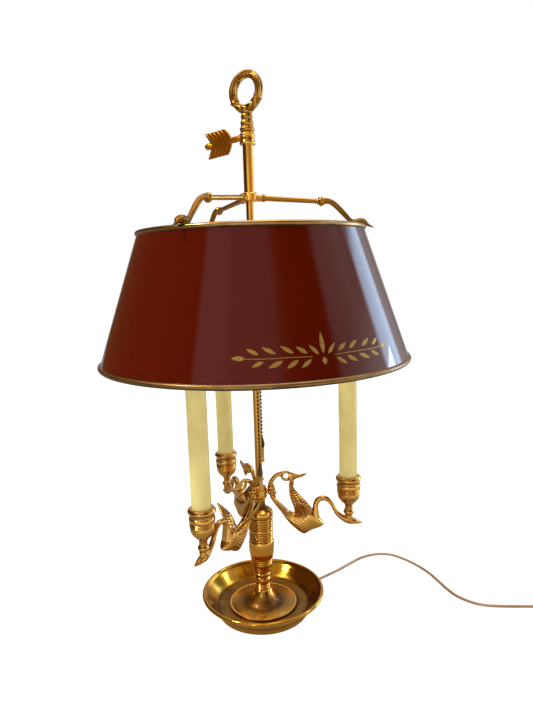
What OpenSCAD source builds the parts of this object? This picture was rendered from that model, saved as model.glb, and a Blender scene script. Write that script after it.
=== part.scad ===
// Bouillotte lamp: a dish base, a turned column with three swan arms that hold candle cups,
// and a sheet-metal shade that slides and turns on a round rod under a ring finial.
// Millimetres, +Z up. The origin is the middle of the base's underside.

/* [Base] */
// Outer radius of the dish's foot
foot_r = 61.2; // [59:0.1:64]
// Outer radius of the dish's rim
rim_r = 80.3; // [78:0.1:86]
// Height of the dish's rim above the table
rim_z = 27.8; // [25:0.1:32]
// Height of the dish's floor
floor_z = 8.6; // [8.2:0.1:10]
// Wall thickness of the dish
dish_wall = 2.4; // [2:0.1:2.8]
// Thickness of the felt pad
pad_t = 1.6; // [1:0.1:1.8]
// Thickness of the ballast disc
weight_t = 4.2; // [3:0.1:4.4]
// Radius of the flange that the column stands on
flange_r = 44.6; // [40:0.1:50]

/* [Column] */
// Height of the column's bell-shaped foot
bell_h = 27.4; // [24:0.1:32]
// Height of the knop above the bell
knop_h = 36; // [32:0.5:42]
// Height of the plain barrel
barrel_h = 26; // [20:0.5:34]
// Largest radius of the barrel
barrel_r = 16.6; // [15:0.1:19]
// Height of the ridged drum
drum_h = 39; // [30:0.5:48]
// Number of ridges on the drum
drum_ridges = 9; // [6:1:12]
// Height of the neck that carries the arm hub
neck_h = 17; // [14:0.5:22]
// Height of the arm hub
hub_h = 14; // [12.5:0.1:18]
// Largest radius of the arm hub
hub_r = 9.8; // [9.4:0.1:12]
// Height of the cap on the arm hub
cap_h = 3.2; // [2:0.1:5]

/* [Rod] */
// Outer radius of the tie rod and of the centre rod
rod_r = 4.5; // [4.2:0.1:4.8]
// Radius of the wire way through both rods
rod_bore = 3; // [2.4:0.1:3.2]
// Height of the finial's seat, the upper end of the shade's travel
finial_z = 607.3; // [570:0.1:640]
// Radius of the finial's ring, at the middle of its tube
ring_r = 19.2; // [16:0.1:24]
// Radius of the ring's tube
ring_tube_r = 4.1; // [3.4:0.1:4.8]
// How much deeper the ring's tube is than it is high
ring_deep = 1.3; // [1:0.05:1.4]
// Direction that the ring lies in, about the rod
ring_turn = 147; // [0:1:359]
// Direction that the key lies in, about the rod
key_turn = 138; // [0:1:359]

/* [Swan arms] */
// Distance from the rod to a candle's axis
cup_reach = 114.5; // [105:0.5:130]
// Distance that a cup's seat lies below the middle of the arm hub
seat_drop = 33.5; // [33:0.1:34]

/* [Candle cups] */
// Height of a candle cup
cup_h = 54.5; // [53:0.5:56]
// Radius of a cup's rim
cup_rim_r = 16.3; // [15.5:0.1:18]
// Radius of a candle
candle_r = 11.4; // [10.4:0.1:11.6]
// Length of a candle
candle_h = 216.5; // [150:0.5:218]
// Length of wick that shows
wick_h = 8; // [3:0.5:9]

/* [Shade] */
// Outer radius of the shade's lower rim
shade_low_r = 190; // [175:1:210]
// Outer radius of the shade's upper rim
shade_top_r = 137.9; // [130:0.1:150]
// Height of the lower rim's middle
shade_low_z = 339.5; // [320:0.5:360]
// Height of the upper rim's middle
shade_top_z = 492.9; // [485:0.1:500]
// Thickness of the shade's sheet
sheet_t = 1; // [0.6:0.1:1.4]
// Radius of the rolled rims
roll_r = 3; // [2.2:0.1:3.6]

/* [Shade carrier] */
// Height of the carrier's collar
collar_h = 13; // [12:0.1:16]
// Outer radius of the sleeve below the collar
sleeve_r = 6.2; // [5.8:0.1:6.8]
// Distance from the rod to the tips of the key's vanes
key_reach = 76.5; // [70:0.5:86]
// Lean of the key's vanes at rest, about its shaft
key_lean = 8; // [0:1:359]
// Height of a vane of the key above its shaft's axis
vane_h = 15.4; // [13:0.1:18]
// Height of the spider hub's underside
spider_z = 528.8; // [524:0.1:534]
// Height of the spider hub
spider_h = 9.4; // [9:0.1:12]
// Direction of the first spider arm
spider_turn = 4; // [0:1:119]

/* [Lights] */
// Height of the switch housing's floor
housing_z = 386; // [384:0.5:388]
// Outer radius of the switch housing
housing_r = 22; // [21.6:0.1:24]
// Height of the switch housing's wall
housing_h = 36; // [34:0.5:40]
// Direction of the first lampholder
socket_turn = 90; // [80:1:100]
// Outer radius of a lampholder
socket_r = 16; // [15.6:0.1:16.4]
// Length of a lampholder
socket_l = 39; // [37:0.1:40]
// Radius of a light bulb
bulb_r = 22.5; // [20:0.5:22.5]

/* [Pull chains] */
// Radius of a chain's ball
ball_r = 1.6; // [1.2:0.1:1.8]
// Distance from ball to ball
ball_pitch = 4.8; // [4:0.1:6]
// Distance from the rod to the front chain
front_reach = 16; // [15:0.1:16.4]
// Direction of the front chain
front_turn = 281; // [276:1:286]
// Height of the front bell's lower end
front_bell_z = 170; // [169:1:240]
// Distance from the rod to the rear chain
rear_reach = 15.5; // [15:0.1:16.4]
// Direction of the rear chain
rear_turn = 75; // [70:1:80]
// Height of the rear bell's lower end
rear_bell_z = 198; // [172:1:240]

/* [Flex] */
// Width of the flat flex
flex_w = 4.4; // [4:0.1:5]
// Thickness of the flat flex
flex_t = 2.4; // [2:0.1:2.6]

/* [Hidden] */
$fn = 64;

// Number of arms, cups and candles, and of spider arms
arm_count = 3;

// Clearance of fixed joints, and of parts that slide or turn on each other
fit = 0.05;
run_fit = 0.1;
// Gap between parts that move apart or past each other
part_gap = 0.3;

// Heights of the column's joints
bell_z = floor_z + bell_h;
knop_z = bell_z + knop_h;
barrel_z = knop_z + barrel_h;
drum_z = barrel_z + drum_h;
neck_z = drum_z + neck_h;
cap_z = neck_z + hub_h;
hub_mid_z = neck_z + hub_h * 9 / 14;
rod_hole = rod_r + fit;

// Places on the base
land_w = 4;
nut_h = 2;
nut_z = floor_z - dish_wall - nut_h;
flex_turn = 42.4;
bush_z = 4.6;
bush_r = 2.9;
bush_head_r = bush_r + 0.5;

// Places on the arms
hub_flat = hub_r - 0.6;
tenon_r = 2.5;
seat_z = hub_mid_z - seat_drop;
seat_r = 5.1;
well_z = seat_z + 26.5;
well_r = candle_r + part_gap;
candle_top = well_z + candle_h;
screw_r = 1.6;
screw_hole = 1.75;

// Places on the carrier
collar_z = finial_z - part_gap - collar_h;
collar_r = 9.65;
lip_t = 1.5;
flange_t = 2.2;
ring_h = 3;
key_z = collar_z + 9.7;
key_pin_r = 1.9;

// Places on the finial
rib_h = 0.5;
calyx_h = 28;
ring_z = finial_z + 23.4 + ring_r + ring_tube_r;

// Middle of each rolled rim, as [radius, height]
low_mid = [shade_low_r - roll_r, shade_low_z];
top_mid = [shade_top_r - roll_r, shade_top_z];

// Places on the lights
plate_t = 1.4;
socket_z = housing_z + 24;
nipple_r = 4.8;
guide_r = 2.9;
guide_bore = ball_r + 0.5;
switch_z = housing_z + 6.4;
switch_h = 12;
lid_z = housing_z + housing_h;
lid_h = 5;
bell_len = 33;

// The flex: its way over the table, its coil and the way to the plug
bush_end = 63.4;
route = [
    [58, 53, 2.7], [68, 62.2, 1.4], [79.5, 72.8, 1.2], [103.6, 94.2, 1.2], [126.5, 117.4, 1.2],
    [137, 128, 1.2], [149.5, 137, 1.2], [162.5, 142.5, 1.2], [175.5, 144.5, 1.2], [188, 142, 1.2],
    [199, 135, 1.2], [209.5, 125.5, 1.2], [219.5, 114, 1.2], [228.5, 101, 1.2], [237, 85.5, 1.2],
    [244, 67, 1.2], [250.5, 49, 1.2], [258, 33, 1.2], [266, 23, 1.2], [275, 15.5, 1.2],
    [284, 10.5, 1.2], [294, 7.6, 1.2], [305, 6.4, 1.2], [318, 5.9, 1.2], [331, 6, 1.2],
    [344, 6.2, 1.2], [358, 6.4, 1.2], [371.9, 6.4, 1.2]
];
coil_mid = [388, -22];
coil_r = 24;
coil_turns = 3;
tail = [[404.1, 6.4, 6], [412, 5.8, 6], [421, 2.6, 6], [428.5, -3.6, 6], [432.2, -10, 6], [433, -15, 6]];
plug_x = 433;
plug_y = -15;
plug_z = 6;

// Half-round moulding as [radius, height] points: h high, and standing out by out
function bead(r, z, h, out, n = 6) = [for (i = [0:n]) [r + out * sin(180 * i / n), z + h * i / n]];

// Arc of a circle as points, from angle a to angle b
function arc(c, r, a, b, n = 8) = [for (i = [0:n]) c + r * [cos(a + (b - a) * i / n), sin(a + (b - a) * i / n)]];

// Smooth curve through stations, with k steps from each to the next
function blend4(a, b, c, d, t) =
    (2 * b + (c - a) * t + (2 * a - 5 * b + 4 * c - d) * t * t + (3 * b - a - 3 * c + d) * t * t * t) / 2;
function smooth(s, k) = concat(
    [for (i = [0:len(s) - 2], j = [0:k - 1])
        blend4(s[max(i - 1, 0)], s[i], s[i + 1], s[min(i + 2, len(s) - 1)], j / k)],
    [s[len(s) - 1]]
);

// Oval ring of n points between an upper and a lower point of an outline in the XZ plane.
// A station is [upper x, upper z, lower x, lower z, half width, depth of flutes].
// full under 1 makes the oval squarer.
function oval(s, n, full = 1) = [for (i = [0:n - 1])
    let (a = 360 * i / n, k = 1 - s[5] * (i % 2), c = k * sign(cos(a)) * pow(abs(cos(a)), full)) [
    (s[0] + s[2]) / 2 + c * (s[0] - s[2]) / 2,
    k * sign(sin(a)) * pow(abs(sin(a)), full) * s[4],
    (s[1] + s[3]) / 2 + c * (s[1] - s[3]) / 2
]];

// Closed skin over a row of rings with n points each
module skin(rings, n) {
    last = len(rings) - 1;
    polyhedron(
        points = [for (ring = rings, p = ring) p],
        faces = concat(
            [[for (i = [n - 1:-1:0]) i]],
            [for (j = [0:last - 1], i = [0:n - 1]) [(j + 1) * n + i, j * n + i, (j + 1) * n + (i + 1) % n]],
            [for (j = [0:last - 1], i = [0:n - 1]) [(j + 1) * n + (i + 1) % n, j * n + i, j * n + (i + 1) % n]],
            [[for (i = [0:n - 1]) last * n + i]]
        )
    );
}

// Closed skin over a loop of rings with n points each
module skin_loop(rings, n) {
    count = len(rings);
    polyhedron(
        points = [for (ring = rings, p = ring) p],
        faces = [for (j = [0:count - 1], i = [0:n - 1], half = [0, 1])
            let (a = j * n, b = ((j + 1) % count) * n, next = (i + 1) % n)
            half == 0 ? [b + i, a + i, b + next] : [b + next, a + i, a + next]]
    );
}

// Body with smooth oval sections through stations
module loft(stations, n, k, full = 1) {
    skin([for (s = smooth(stations, k)) oval(s, n, full)], n);
}

// Turned piece from [radius, height] points, with a bore
module turned(points, bore = 0) {
    rotate_extrude()
        polygon(concat([[bore, points[0][1]]], points, [[bore, points[len(points) - 1][1]]]));
}

// Places its children at each arm
module at_arm(i) {
    rotate([0, 0, 360 * i / arm_count]) children();
}

// A rod along +X from x = a to x = b
module bar_x(r, a, b) {
    translate([a, 0, 0]) rotate([0, 90, 0]) cylinder(r = r, h = b - a);
}

module base_pad() {
    color("darkgreen") cylinder(r = foot_r - 1, h = pad_t);
}

module dish() {
    roll = 2.2;
    color("goldenrod") difference() {
        rotate_extrude() polygon(concat(
            [[foot_r - land_w, pad_t], [foot_r, pad_t], [foot_r, 6], [foot_r + 2.2, 9.5]],
            [[foot_r + 6.3, 14], [rim_r - 8.3, rim_z - 8.8], [rim_r - 4.3, rim_z - 4.3]],
            arc([rim_r - roll, rim_z - roll], roll, -60, 180),
            [[rim_r - 6.4, rim_z - 4.4], [rim_r - 10.6, rim_z - 8.4], [foot_r + 4, 14.6], [foot_r + 0.8, 11]],
            [[foot_r - 1.4, floor_z], [rod_hole, floor_z], [rod_hole, floor_z - dish_wall]],
            [[foot_r - land_w, floor_z - dish_wall]]
        ));
        rotate([0, 0, flex_turn]) translate([0, 0, bush_z])
            bar_x(bush_r + fit, foot_r - 2 * land_w, rim_r);
        rotate([0, 0, flex_turn]) translate([0, 0, bush_z]) bar_x(bush_head_r + fit, foot_r + 0.35, rim_r);
        rotate([0, 0, flex_turn]) translate([0, 0, floor_z]) cylinder(r = rod_hole, h = dish_wall);
    }
}

module weight() {
    slot_w = 7;
    color("dimgray") difference() {
        translate([0, 0, pad_t]) cylinder(r = foot_r - land_w - part_gap, h = weight_t);
        cylinder(r = 12, h = floor_z);
        rotate([0, 0, flex_turn]) translate([0, -slot_w / 2, 0]) cube([foot_r, slot_w, floor_z]);
    }
}

module base_nut() {
    color("silver") translate([0, 0, nut_z]) difference() {
        cylinder(r = 9.2, h = nut_h, $fn = 6);
        translate([0, 0, -1]) cylinder(r = rod_hole, h = nut_h + 2);
    }
}

module stem_foot() {
    rings = 3;
    ring_pitch = 2.2;
    top = bell_h - rings * ring_pitch;
    color("goldenrod") translate([0, 0, floor_z]) turned(concat(
        [[flange_r, 0], [flange_r, 1.2], [flange_r - 0.6, 1.8], [25.2, 1.9], [22.4, 3.6], [19.8, 5.8]],
        [[17.4, 8.4], [15, 12], [12.8, 15.6], [10.9, top - 1.2], [9.2, top]],
        [for (i = [0:rings - 1]) each bead(8.6 - 0.1 * i, top + i * ring_pitch, ring_pitch, 1.1, 4)]
    ), rod_hole);
}

module stem_knop() {
    rings = 3;
    ring_pitch = 2.8;
    top = knop_h - rings * ring_pitch;
    color("goldenrod") translate([0, 0, bell_z]) turned(concat(
        [[8.2, 0], [8.2, 2.8]],
        bead(8.5, 3, 7, 2.1),
        [[9, 10.4], [9, 12.6]],
        bead(9.2, 12.8, 3.4, 1.5),
        [[9.4, 16.6], [9.9, 20], [11.1, 23.6], [12.6, top - 0.2]],
        [for (i = [0:rings - 1]) each bead(12.8 + 0.3 * i, top + i * ring_pitch, ring_pitch, 0.9, 4)]
    ), rod_hole);
}

module stem_barrel() {
    color("goldenrod") translate([0, 0, knop_z]) turned([
        [barrel_r - 2.6, 0], [barrel_r - 1.7, barrel_h * 0.08], [barrel_r - 1, barrel_h * 0.22],
        [barrel_r - 0.4, barrel_h * 0.4], [barrel_r, barrel_h * 0.65], [barrel_r, barrel_h * 0.8],
        [barrel_r - 0.4, barrel_h * 0.93], [barrel_r - 1.2, barrel_h]
    ], rod_hole);
}

module stem_drum() {
    pitch = drum_h / drum_ridges;
    color("goldenrod") translate([0, 0, barrel_z]) turned(
        [for (i = [0:drum_ridges - 1])
            each bead(barrel_r - 1.8 + 0.06 * i, i * pitch, pitch, i % 4 == 3 ? 0.5 : 1, 5)],
        rod_hole
    );
}

module stem_neck() {
    color("goldenrod") translate([0, 0, drum_z]) turned([
        [barrel_r - 1.2, 0], [barrel_r - 1.4, 0.8], [12.4, 2.6], [9.8, 4], [7.9, 5.8], [6.9, 8], [6.5, 10.5],
        [6.5, neck_h - 4], [6.9, neck_h - 2], [7.6, neck_h]
    ], rod_hole);
}

// Flats round the hub that the arms' knuckles seat on
module hub_flats() {
    for (i = [0:arm_count - 1]) at_arm(i)
        translate([hub_flat, -hub_r, neck_z - 1]) cube([hub_r, 2 * hub_r, hub_h + 2]);
}

module arm_hub() {
    color("darkgoldenrod") difference() {
        translate([0, 0, neck_z]) turned(concat(
            [[7.8, 0], [8.7, 1.2]],
            bead(8.8, 1.4, 2.4, 0.6, 4),
            [[hub_r - 0.2, 4.2], [hub_r, 5], [hub_r, hub_h - 2.2], [hub_r - 0.9, hub_h - 1], [8.2, hub_h]]
        ), rod_hole);
        hub_flats();
        for (i = [0:arm_count - 1]) at_arm(i)
            translate([0, 0, hub_mid_z]) bar_x(tenon_r + fit, rod_r, hub_r + 1);
    }
}

module hub_cap() {
    color("goldenrod") translate([0, 0, cap_z]) turned([
        [8.2, 0], [8.8, 0.8], [8.4, 1.6], [6.8, cap_h - 0.8], [5.8, cap_h]
    ], rod_hole);
}

module tie_rod() {
    color("silver") translate([0, 0, nut_z + 0.1])
        turned([[rod_r, 0], [rod_r, hub_mid_z - nut_z - 0.1]], rod_bore);
}

module centre_rod() {
    color("gold") difference() {
        translate([0, 0, hub_mid_z]) turned([[rod_r, 0], [rod_r, finial_z + 12 - hub_mid_z]], rod_bore);
        translate([0, 0, socket_z]) bar_x(2, 0, rod_r + 1);
    }
}

// Beaded neck of the finial, with a calyx that the ring stands in
module finial_neck() {
    bore_h = 12.3;
    color("goldenrod") difference() {
        translate([0, 0, finial_z]) turned(concat(
            [[7.4, 0], [7.4, 0.6]],
            bead(7.2, 0.8, 6.4, 1.6), bead(6.4, 7.4, 7, 1.3), bead(5.8, 14.6, 7, 1.2),
            [[6.6, 22.4], [8.8, 25.4], [8.4, calyx_h]]
        ));
        translate([0, 0, finial_z - 1]) cylinder(r = rod_hole, h = bore_h + 1);
        rotate([0, 0, ring_turn]) translate([0, -12, ring_z]) rotate([-90, 0, 0])
            cylinder(r = ring_r + ring_tube_r + rib_h + fork_out + fit, h = 24);
    }
}

// Ring of the finial: a fluted tube with cross ribs at its crown. Its foot is a leafy fork
// with straight sides, which ends in a corner at each shoulder.
fork_turn = 42.3;
fork_in = 0.4;
fork_out = 1.3;
module finial_ring() {
    steps = 60;
    sides = 10;
    outer = ring_r + ring_tube_r;
    // Height of the ribs at angle a from the ring's foot
    function rib(a) = a > 130 ? rib_h * (floor(a / 6) % 2) : a < 60 ? rib_h * (1 - floor(a / 12) % 2) : 0;
    // How far the fork's straight side stands out past the ring
    function fork(a) = a < 62 ? min((outer - fork_in) / cos(a - fork_turn) - outer, fork_out) : 0;
    rings = [for (i = [0:steps - 1]) let (a = 360 * i / steps - 90, t = 180 - abs(180 - 360 * i / steps))
        [for (k = [0:sides - 1])
            let (b = 360 * k / sides, s = (ring_tube_r + rib(t)) * (1 - 0.08 * (k % 2)),
                x = ring_r + s * cos(b) + fork(t) * max(cos(b), 0))
            [x * cos(a), s * sin(b) * ring_deep, x * sin(a)]]];
    color("goldenrod") translate([0, 0, ring_z]) rotate([0, 0, ring_turn]) skin_loop(rings, sides);
}

// One swan arm along +X. Its outline is drawn for a reach of 105.3 from the hub's flat,
// with the hub's flat at x = 0 and the tenon's axis at z = 0.
arm_drawn = 105.3;
arm_stretch = (cup_reach - hub_flat) / arm_drawn;

// Tail and body, from the knuckle to the breast
swan_body = [
    [8, -2.4, 4, -7.5, 3.4, 0.1], [14.3, -12.2, 10.3, -17.6, 4.4, 0.18], [21.9, -20.4, 17.8, -27.2, 5.8, 0.18],
    [29.5, -27.2, 25.3, -38.2, 7.2, 0.16], [38.3, -29.2, 34.4, -48.2, 8.4, 0.12],
    [48.3, -27, 46.4, -57, 9, 0.06], [58, -24.6, 57.2, -52, 8.4, 0.03], [66, -34, 67.4, -48.4, 6.4, 0],
    [70.6, -39.6, 71.4, -46, 4, 0], [73, -42.6, 73.2, -44.2, 1.2, 0]
];
// Neck and head, from the body's back to the beak
swan_neck = [
    [54.6, -35, 69, -41, 7.6, 0], [58.2, -24.6, 66.8, -28.8, 6, 0], [60.2, -15.4, 66.2, -20.6, 4.6, 0],
    [63.8, -9.4, 68, -15, 4, 0], [71.3, -6.4, 72.6, -12.9, 3.8, 0], [79.6, -8.4, 77.4, -14.2, 3.5, 0],
    [86.5, -17.2, 82.6, -20.4, 3.3, 0.04], [91.4, -26, 87, -29.8, 3.3, 0.04], [97.6, -32, 93.4, -37.4, 3.6, 0.04],
    [104, -34, 103.4, -43.8, 5, 0], [112, -36.6, 113, -44.2, 4.2, 0], [117.4, -39.6, 118.6, -44, 2.6, 0],
    [122.6, -41.9, 122.8, -42.7, 0.6, 0]
];
// Scroll over the tail, from the knuckle to its eye
swan_scroll = [
    [1, 4, 5.8, 3, 2.6, 0], [2.6, 12, 7.8, 10, 2.8, 0], [7, 19.4, 11.6, 16.2, 3, 0],
    [13, 24.4, 15.6, 19.8, 3, 0], [20.4, 26.8, 21, 20.8, 3, 0]
];
// Leaf beyond the scroll's eye
swan_leaf = [
    [28.4, 26.4, 28.6, 14, 3.2, 0], [33, 25.4, 33, 12.8, 4.4, 0], [38.4, 23.4, 38, 16.6, 4, 0],
    [43.6, 22.7, 43.8, 18.4, 3, 0], [48.2, 23.8, 48.4, 20.2, 2, 0], [52.6, 24.4, 52.4, 23.2, 0.7, 0]
];

// The two raised wings as [x, side, z] points from the body's back up to the tip: the edge
// near the neck, then the edge near the tail. The second wing of the casting spreads lower.
wings = [
    [
        [[57, 7, -27], [48.1, 13, -18.3], [41.7, 18, -12.8], [35.2, 22, -6.4], [29.8, 27, 4]],
        [[38.2, 4.8, -29.8], [33.4, 11.5, -20.6], [30.4, 17, -14], [29, 22.5, -6.6], [29, 26.6, 2.8]]
    ], [
        [[56, -6, -26.4], [51, -12.5, -16.6], [47.4, -19, -10.6], [44, -25.6, -6.4], [41, -30.4, -4]],
        [[37.6, -5.5, -30], [36.8, -10.4, -21], [37, -16.5, -14.2], [38, -23, -9.4], [40.2, -30, -4.8]]
    ]
];
module swan_wing(edges) {
    for (j = [0:3]) hull() for (m = [j, j + 1]) {
        translate(edges[0][m]) sphere(r = 2.3 - 0.35 * m, $fn = 8);
        translate(edges[1][m]) sphere(r = 1.2 - 0.1 * m, $fn = 6);
    }
}

// Turned knuckle: a ball over two rings that stand on the tail, beside the tenon that
// screws into the hub
module swan_knuckle() {
    tenon_x = rod_r + part_gap - hub_flat;
    rotate([0, 90, 0]) rotate_extrude($fn = 16) polygon([
        [0, tenon_x], [tenon_r, tenon_x], [tenon_r, 0], [3.8, 0], [3.8, 1.4], [3, 2.2], [3, 6], [0, 6]
    ]);
    translate([7.2, 0, -1.2]) rotate([0, -9.5, 0]) rotate_extrude($fn = 16) polygon(concat(
        [[0, -8], [3, -8]], bead(3, -7.6, 4.2, 0.9, 2), bead(4.3, -3.3, 4.6, 1.4, 4),
        arc([0, 6.5], 5.2, -38, 90, 6)
    ));
}

// Ring at the scroll's end, with a fluted drop below the leaf
module swan_eye() {
    translate([25.5, 0, 20.6]) rotate([90, 0, 0]) rotate_extrude($fn = 14)
        translate([5.3, 0]) circle(r = 1.9, $fn = 6);
    hull() {
        for (y = [-2.4, 2.4]) translate([31.4, y, 16]) sphere(r = 2.4, $fn = 8);
        translate([35, 0, 14]) sphere(r = 2, $fn = 8);
        translate([34, 0, 8.4]) sphere(r = 1, $fn = 6);
    }
}

module swan_arm(i) {
    seat_x = cup_reach - hub_flat;
    boss_h = 7.5;
    color("goldenrod") at_arm(i) translate([hub_flat, 0, hub_mid_z]) difference() {
        union() {
            swan_knuckle();
            scale([arm_stretch, 1, 1]) union() {
                loft(swan_body, 18, 2, 0.8);
                loft(swan_neck, 8, 2);
                loft(swan_scroll, 8, 2);
                loft(swan_leaf, 8, 2);
                swan_eye();
                for (edges = wings) swan_wing(edges);
            }
            translate([seat_x, 0, -seat_drop - boss_h]) cylinder(r = seat_r, h = boss_h, $fn = 24);
        }
        translate([seat_x, 0, -seat_drop - 6]) cylinder(r = screw_hole, h = 10, $fn = 16);
    }
}

module candle_cup(i) {
    ridges = 3;
    ridge_pitch = 2.3;
    bowl_z = cup_h - 26;
    bulge_z = bowl_z + ridges * ridge_pitch + 0.2;
    floor_h = well_z - seat_z;
    color("darkgoldenrod") at_arm(i) translate([cup_reach, 0, seat_z]) difference() {
        turned(concat(
            [[seat_r, 0], [seat_r, 1], [4.6, 1.8]],
            bead(4.5, 2, 8.2, 2.3, 6),
            [[4.3, 10.6], [4.3, bowl_z - 14.2], [5.2, bowl_z - 12.8], [6.6, bowl_z - 11], [9.6, bowl_z - 8.1]],
            [[12, bowl_z - 5.2], [13.4, bowl_z - 2.4], [14, bowl_z - 0.2]],
            [for (k = [0:ridges - 1]) each bead(13.9, bowl_z + k * ridge_pitch, ridge_pitch, 0.8, 4)],
            bead(13.9, bulge_z, 8.6, 1.4, 6),
            [[13.8, bulge_z + 9], [13.8, cup_h - 7.6]],
            bead(14.2, cup_h - 7.2, 7.2, cup_rim_r - 14.2, 6)
        ));
        translate([0, 0, floor_h]) cylinder(r = well_r, h = cup_h);
        translate([0, 0, -1]) cylinder(r = screw_hole, h = cup_h);
        translate([0, 0, floor_h - 3]) cylinder(r = 3.5, h = 4);
    }
}

module cup_screws() {
    color("silver") for (i = [0:arm_count - 1]) at_arm(i) translate([cup_reach, 0, 0])
        turned([
            [screw_r, seat_z - 5], [screw_r, well_z - 3], [3.2, well_z - 3], [3.2, well_z - 1], [2.4, well_z - 0.3]
        ]);
}

module candle(i) {
    color("khaki") at_arm(i) translate([cup_reach, 0, well_z]) difference() {
        turned([[candle_r, 0], [candle_r, candle_h - 1.6], [candle_r - 1.6, candle_h]]);
        translate([0, 0, candle_h - 4]) cylinder(r = 1, h = 5);
    }
}

module wicks() {
    color("ivory") for (i = [0:arm_count - 1]) at_arm(i) translate([cup_reach, 0, candle_top - 4])
        cylinder(r = 0.95, h = wick_h + 4);
}

module slide_collar() {
    low = collar_z + ring_h;
    pocket_h = lip_t + flange_t + part_gap - ring_h;
    color("goldenrod") difference() {
        translate([0, 0, low]) turned(concat(
            [[9.2, 0], [9, 0.8], [8.6, 1.6], [8.6, 5.4]],
            bead(8.4, 5.6, collar_h - ring_h - 5.8, 0.9), [[7.6, collar_h - ring_h]]
        ), rod_r + run_fit);
        translate([0, 0, low - 1]) cylinder(r = sleeve_r + 1.3, h = 1 + pocket_h);
        rotate([0, 0, key_turn]) translate([0, 0, key_z]) bar_x(key_pin_r + fit, rod_r, collar_r + 1);
    }
}

module collar_ring() {
    color("darkgoldenrod") translate([0, 0, collar_z]) difference() {
        turned(bead(collar_r - 0.4, 0, ring_h, 0.4, 4), sleeve_r + run_fit);
        translate([0, 0, lip_t]) cylinder(r = sleeve_r + 1.3, h = ring_h);
    }
}

// Half of the key's fletching, above the shaft's axis, as [distance from the rod, height] points
vane = [
    [28, 0], [29, 4], [33, 10.2], [38, vane_h - 0.4], [key_reach, vane_h],
    [key_reach - 7.8, 4.4], [key_reach - 7.8, 0]
];

module arrow_key() {
    ribs = 5;
    pitch = (key_reach - 38) / ribs;
    rib_l = vane_h - 4.2;
    color("darkgoldenrod") rotate([0, 0, key_turn]) translate([0, 0, key_z]) rotate([90 - key_lean, 0, 0]) union() {
        for (m = [0, 1]) mirror([0, m, 0]) {
            translate([0, 0, -1.1]) linear_extrude(2.2) polygon(vane);
            for (k = [0:ribs - 1]) translate([37 + k * pitch, 3.4, -1.7]) linear_extrude(3.4)
                polygon([[0, 0], [1.6, 0], [6.6, rib_l], [5, rib_l]]);
        }
        bar_x(key_pin_r, rod_r + part_gap, 10);
        rotate([0, 90, 0]) turned(concat(
            [[2.6, collar_r + 0.2], [3.4, collar_r + 1]],
            bead(3.2, 12, 3, 0.9, 4),
            [[3.4, 16], [3.7, 21], [3.6, 26], [2.6, 31], [1.9, 37], [1.9, key_reach - 10], [3.9, key_reach - 6]],
            [[4.4, key_reach - 2.5], [3.6, key_reach + 0.6], [1.6, key_reach + 3]]
        ));
    }
}

module sleeve() {
    flange_z = collar_z + lip_t;
    color("gold") turned([
        [sleeve_r, spider_z], [sleeve_r, flange_z], [sleeve_r + 1.1, flange_z], [sleeve_r + 1.1, flange_z + flange_t]
    ], rod_r + run_fit);
}

// Spider: hub and rods
spider_mid = spider_z + spider_h / 2 - 1.4;
boss_end = 15;
knuckle = [top_mid[0] - 48.9, top_mid[1] + 33.1];

// Places its children at each spider arm
module at_spider(i) {
    rotate([0, 0, spider_turn]) at_arm(i) children();
}

module spider_hub() {
    color("darkgoldenrod") difference() {
        union() {
            translate([0, 0, spider_z]) turned([
                [9.6, 0], [10.4, 0.8], [10.4, spider_h - 0.8], [9.6, spider_h]
            ], sleeve_r + fit);
            for (i = [0:arm_count - 1]) at_spider(i) translate([0, 0, spider_mid]) bar_x(4, 8.4, boss_end);
        }
        translate([0, 0, spider_z - 1]) cylinder(r = sleeve_r + fit, h = spider_h + 2);
        for (i = [0:arm_count - 1]) at_spider(i) translate([0, 0, spider_mid])
            bar_x(tenon_r + 0.15, sleeve_r, boss_end + 1);
    }
}

// Station of the spider's rod at a share t of the way to the knuckle
function rod_at(t, r) = let (
    x = boss_end + t * (knuckle[0] - boss_end),
    z = spider_mid + t * (knuckle[1] - spider_mid)
) [x, z + r, x, z - r, r, 0];

// Station of the spider's neck, from the middle of the rolled rim
function neck_at(ux, uz, lx, lz, w) = [top_mid[0] + ux, top_mid[1] + uz, top_mid[0] + lx, top_mid[1] + lz, w, 0];

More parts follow.
